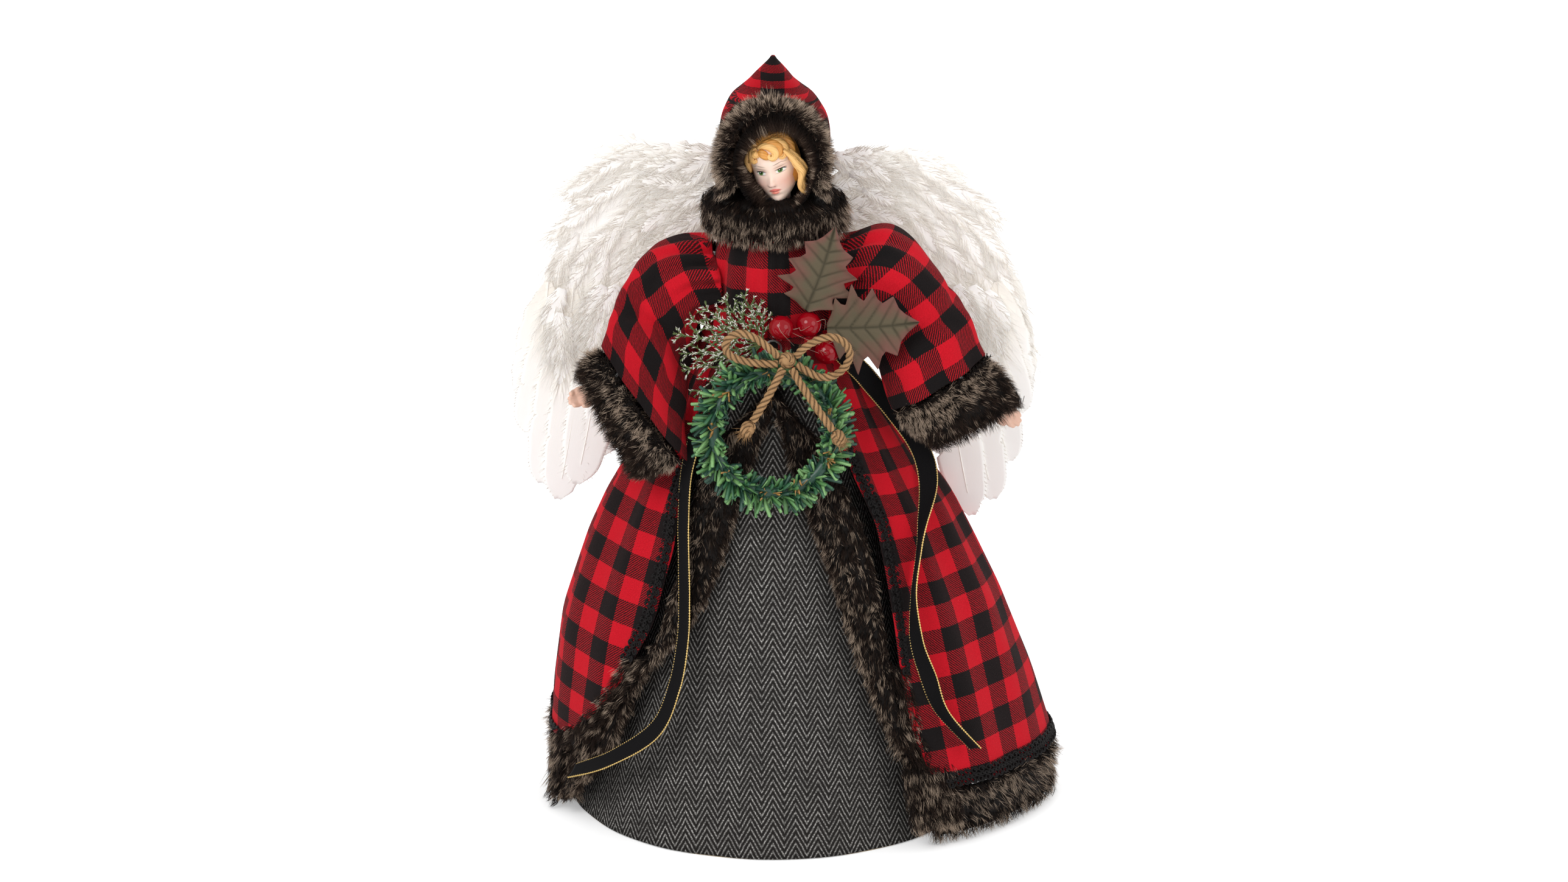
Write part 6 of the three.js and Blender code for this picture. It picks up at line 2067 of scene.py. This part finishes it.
leaf_outline = [
    (0, 0.07), (0.06, 0.3), (0.11, 0.66), (0.17, 0.52), (0.22, 0.5), (0.3, 1.0), (0.36, 0.7), (0.42, 0.6),
    (0.52, 0.88), (0.57, 0.6), (0.62, 0.5), (0.74, 0.62), (0.79, 0.34), (0.86, 0.2), (1, 0.02),
]
leaf_veins = ((0.08, 0.36), (0.24, 0.36), (0.4, 0.32), (0.56, 0.28), (0.7, 0.24), (0.84, 0.2))
sprig_fan = [
    (96, 25), (112, 30), (128, 33), (143, 39), (157, 44), (171, 46), (186, 45), (201, 46), (216, 44),
    (232, 36),
]


def make_leaf(name, foot, turn, plane, cup, wide=1.0):
    """A cloth leaf with pressed veins, turned about its foot and cupped at its edges."""
    up = np.linspace(0, 1, 90)[:, None]
    steps = np.linspace(-1, 1, 41)[None]
    table = np.array(leaf_outline)
    width = np.interp(up, table[:, 0], table[:, 1]) * leaf_width * wide / 2
    side = steps * width
    x = side + 1.2 * mm * np.sin(up * 3)
    z = up * leaf_length
    ribs = np.zeros_like(side)
    for start, lean in leaf_veins:
        line = up - start - np.abs(side) / leaf_width * lean * 2
        ribs = np.maximum(ribs, hump(line, 0, 0.014) * (1 - 0.5 * np.abs(steps)))
    ribs = np.maximum(ribs, hump(side, 0, 0.75 * mm))
    lift = cup * (np.abs(side) / (leaf_width / 2)) ** 1.5 - 0.7 * mm * ribs
    lift = lift + 1.3 * mm * np.sin(up * 9 + steps * 2) * np.abs(steps)
    turned = math.radians(turn)
    cosine, sine = math.cos(turned), math.sin(turned)
    grid = stacked(foot[0] + x * cosine + z * sine, plane - lift, foot[1] - x * sine + z * cosine)
    mark = stacked(np.abs(steps) * (0.55 + 0.45 * up), 0.5, ribs)
    heap = Heap()
    heap.add_shell(grid, grid + np.array((0, 0.7 * mm, 0)), None, mark)
    made = heap.piece(f"leaf_cloth_{name}", leaf_material, "leaf", "doll", [f"holly_leaf_{name}"])


def make_sprig():
    """Lacy flocked twigs: thin stems with short nubs, more than half of them frosted white."""
    heap = Heap()
    twigs = []
    for degrees, size in sprig_fan:
        angle = math.radians(degrees + rng.uniform(-3, 3))
        reach = size * rng.uniform(0.94, 1.02) * mm
        way = np.array((math.cos(angle), 0, math.sin(angle)))
        aside = np.array((-way[2], 0, way[0]))
        bow = rng.uniform(-3, 3) * mm
        lift = rng.uniform(0, 4) * mm
        rows = []
        for part in (0, 0.35, 0.7, 1):
            swing = aside * bow * math.sin(part * 3)
            rows.append(sprig_root + way * reach * part + swing - np.array((0, lift * part, 0)))
        path = smooth_path(rows, 40)
        twigs.append(path)
        for start in np.arange(0.3, 0.96, 0.2):
            base = path[int(start * 39)]
            for sign in (-1, 1):
                lean = unit(way * 0.75 + aside * sign * 0.8)
                short = reach * (1 - start) * rng.uniform(0.3, 0.5) + 3 * mm
                ahead = np.array((0, rng.uniform(-0.5, 1.6) * mm, 0))
                tip = base + lean * short + way * short * 0.12 - ahead
                twigs.append(smooth_path([base, base + lean * short * 0.5, tip], 16))
    for path in twigs:
        reach = path_reach(path)[-1]
        heap.add(*tube(path, np.linspace(0.55, 0.35, len(path)) * mm, 5), (0, 0.1, 0))
        count = int(reach / (0.75 * mm))
        place = rng.uniform(0.12, 1, count)
        at = (place * (len(path) - 1)).astype(int)
        along, side, other = path_frames(path)
        angle = rng.uniform(0, 2 * math.pi, (count, 1))
        out = np.cos(angle) * side[at] + np.sin(angle) * other[at]
        lean = unit(along[at] * 0.9 + out * rng.uniform(0.6, 1.1, (count, 1)))
        facing = (out[:, 1] < 0.4) | (out[:, 2] > 0.1)
        frosted = facing & (rng.random(count) < 0.72)
        chance = np.where(frosted, rng.uniform(0.5, 1, count), rng.uniform(0, 0.5, count))
        sizes = rng.uniform(1.5, 2.6, count) * mm
        heap.add(*strands(path[at], lean, sizes, 1.15 * mm, lean * 0, chance, 0.5, 1))
    heap.piece("flocked_sprig", sprig_material, "cedar", "doll", ["cedar_sprig"])


make_berries()
make_leaf("upper", (17 * mm, 278.9 * mm), 18, -35.9 * mm, 1.6 * mm)
make_leaf("side", (27.9 * mm, 269.5 * mm), 86, -37.1 * mm, 1.8 * mm, 1.2)
make_sprig()


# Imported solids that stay


def refinish(material, *names):
    for name in names:
        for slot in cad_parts[name].material_slots:
            slot.material = material


refinish(board_material, "cone_form", "wing_card")
refinish(foam_material, "torso_core")
refinish(wadding_material, "left_arm_padding", "right_arm_padding")
refinish(wire_material, "left_arm_wire", "right_arm_wire", "wreath_hanger")

bpy.context.view_layer.update()
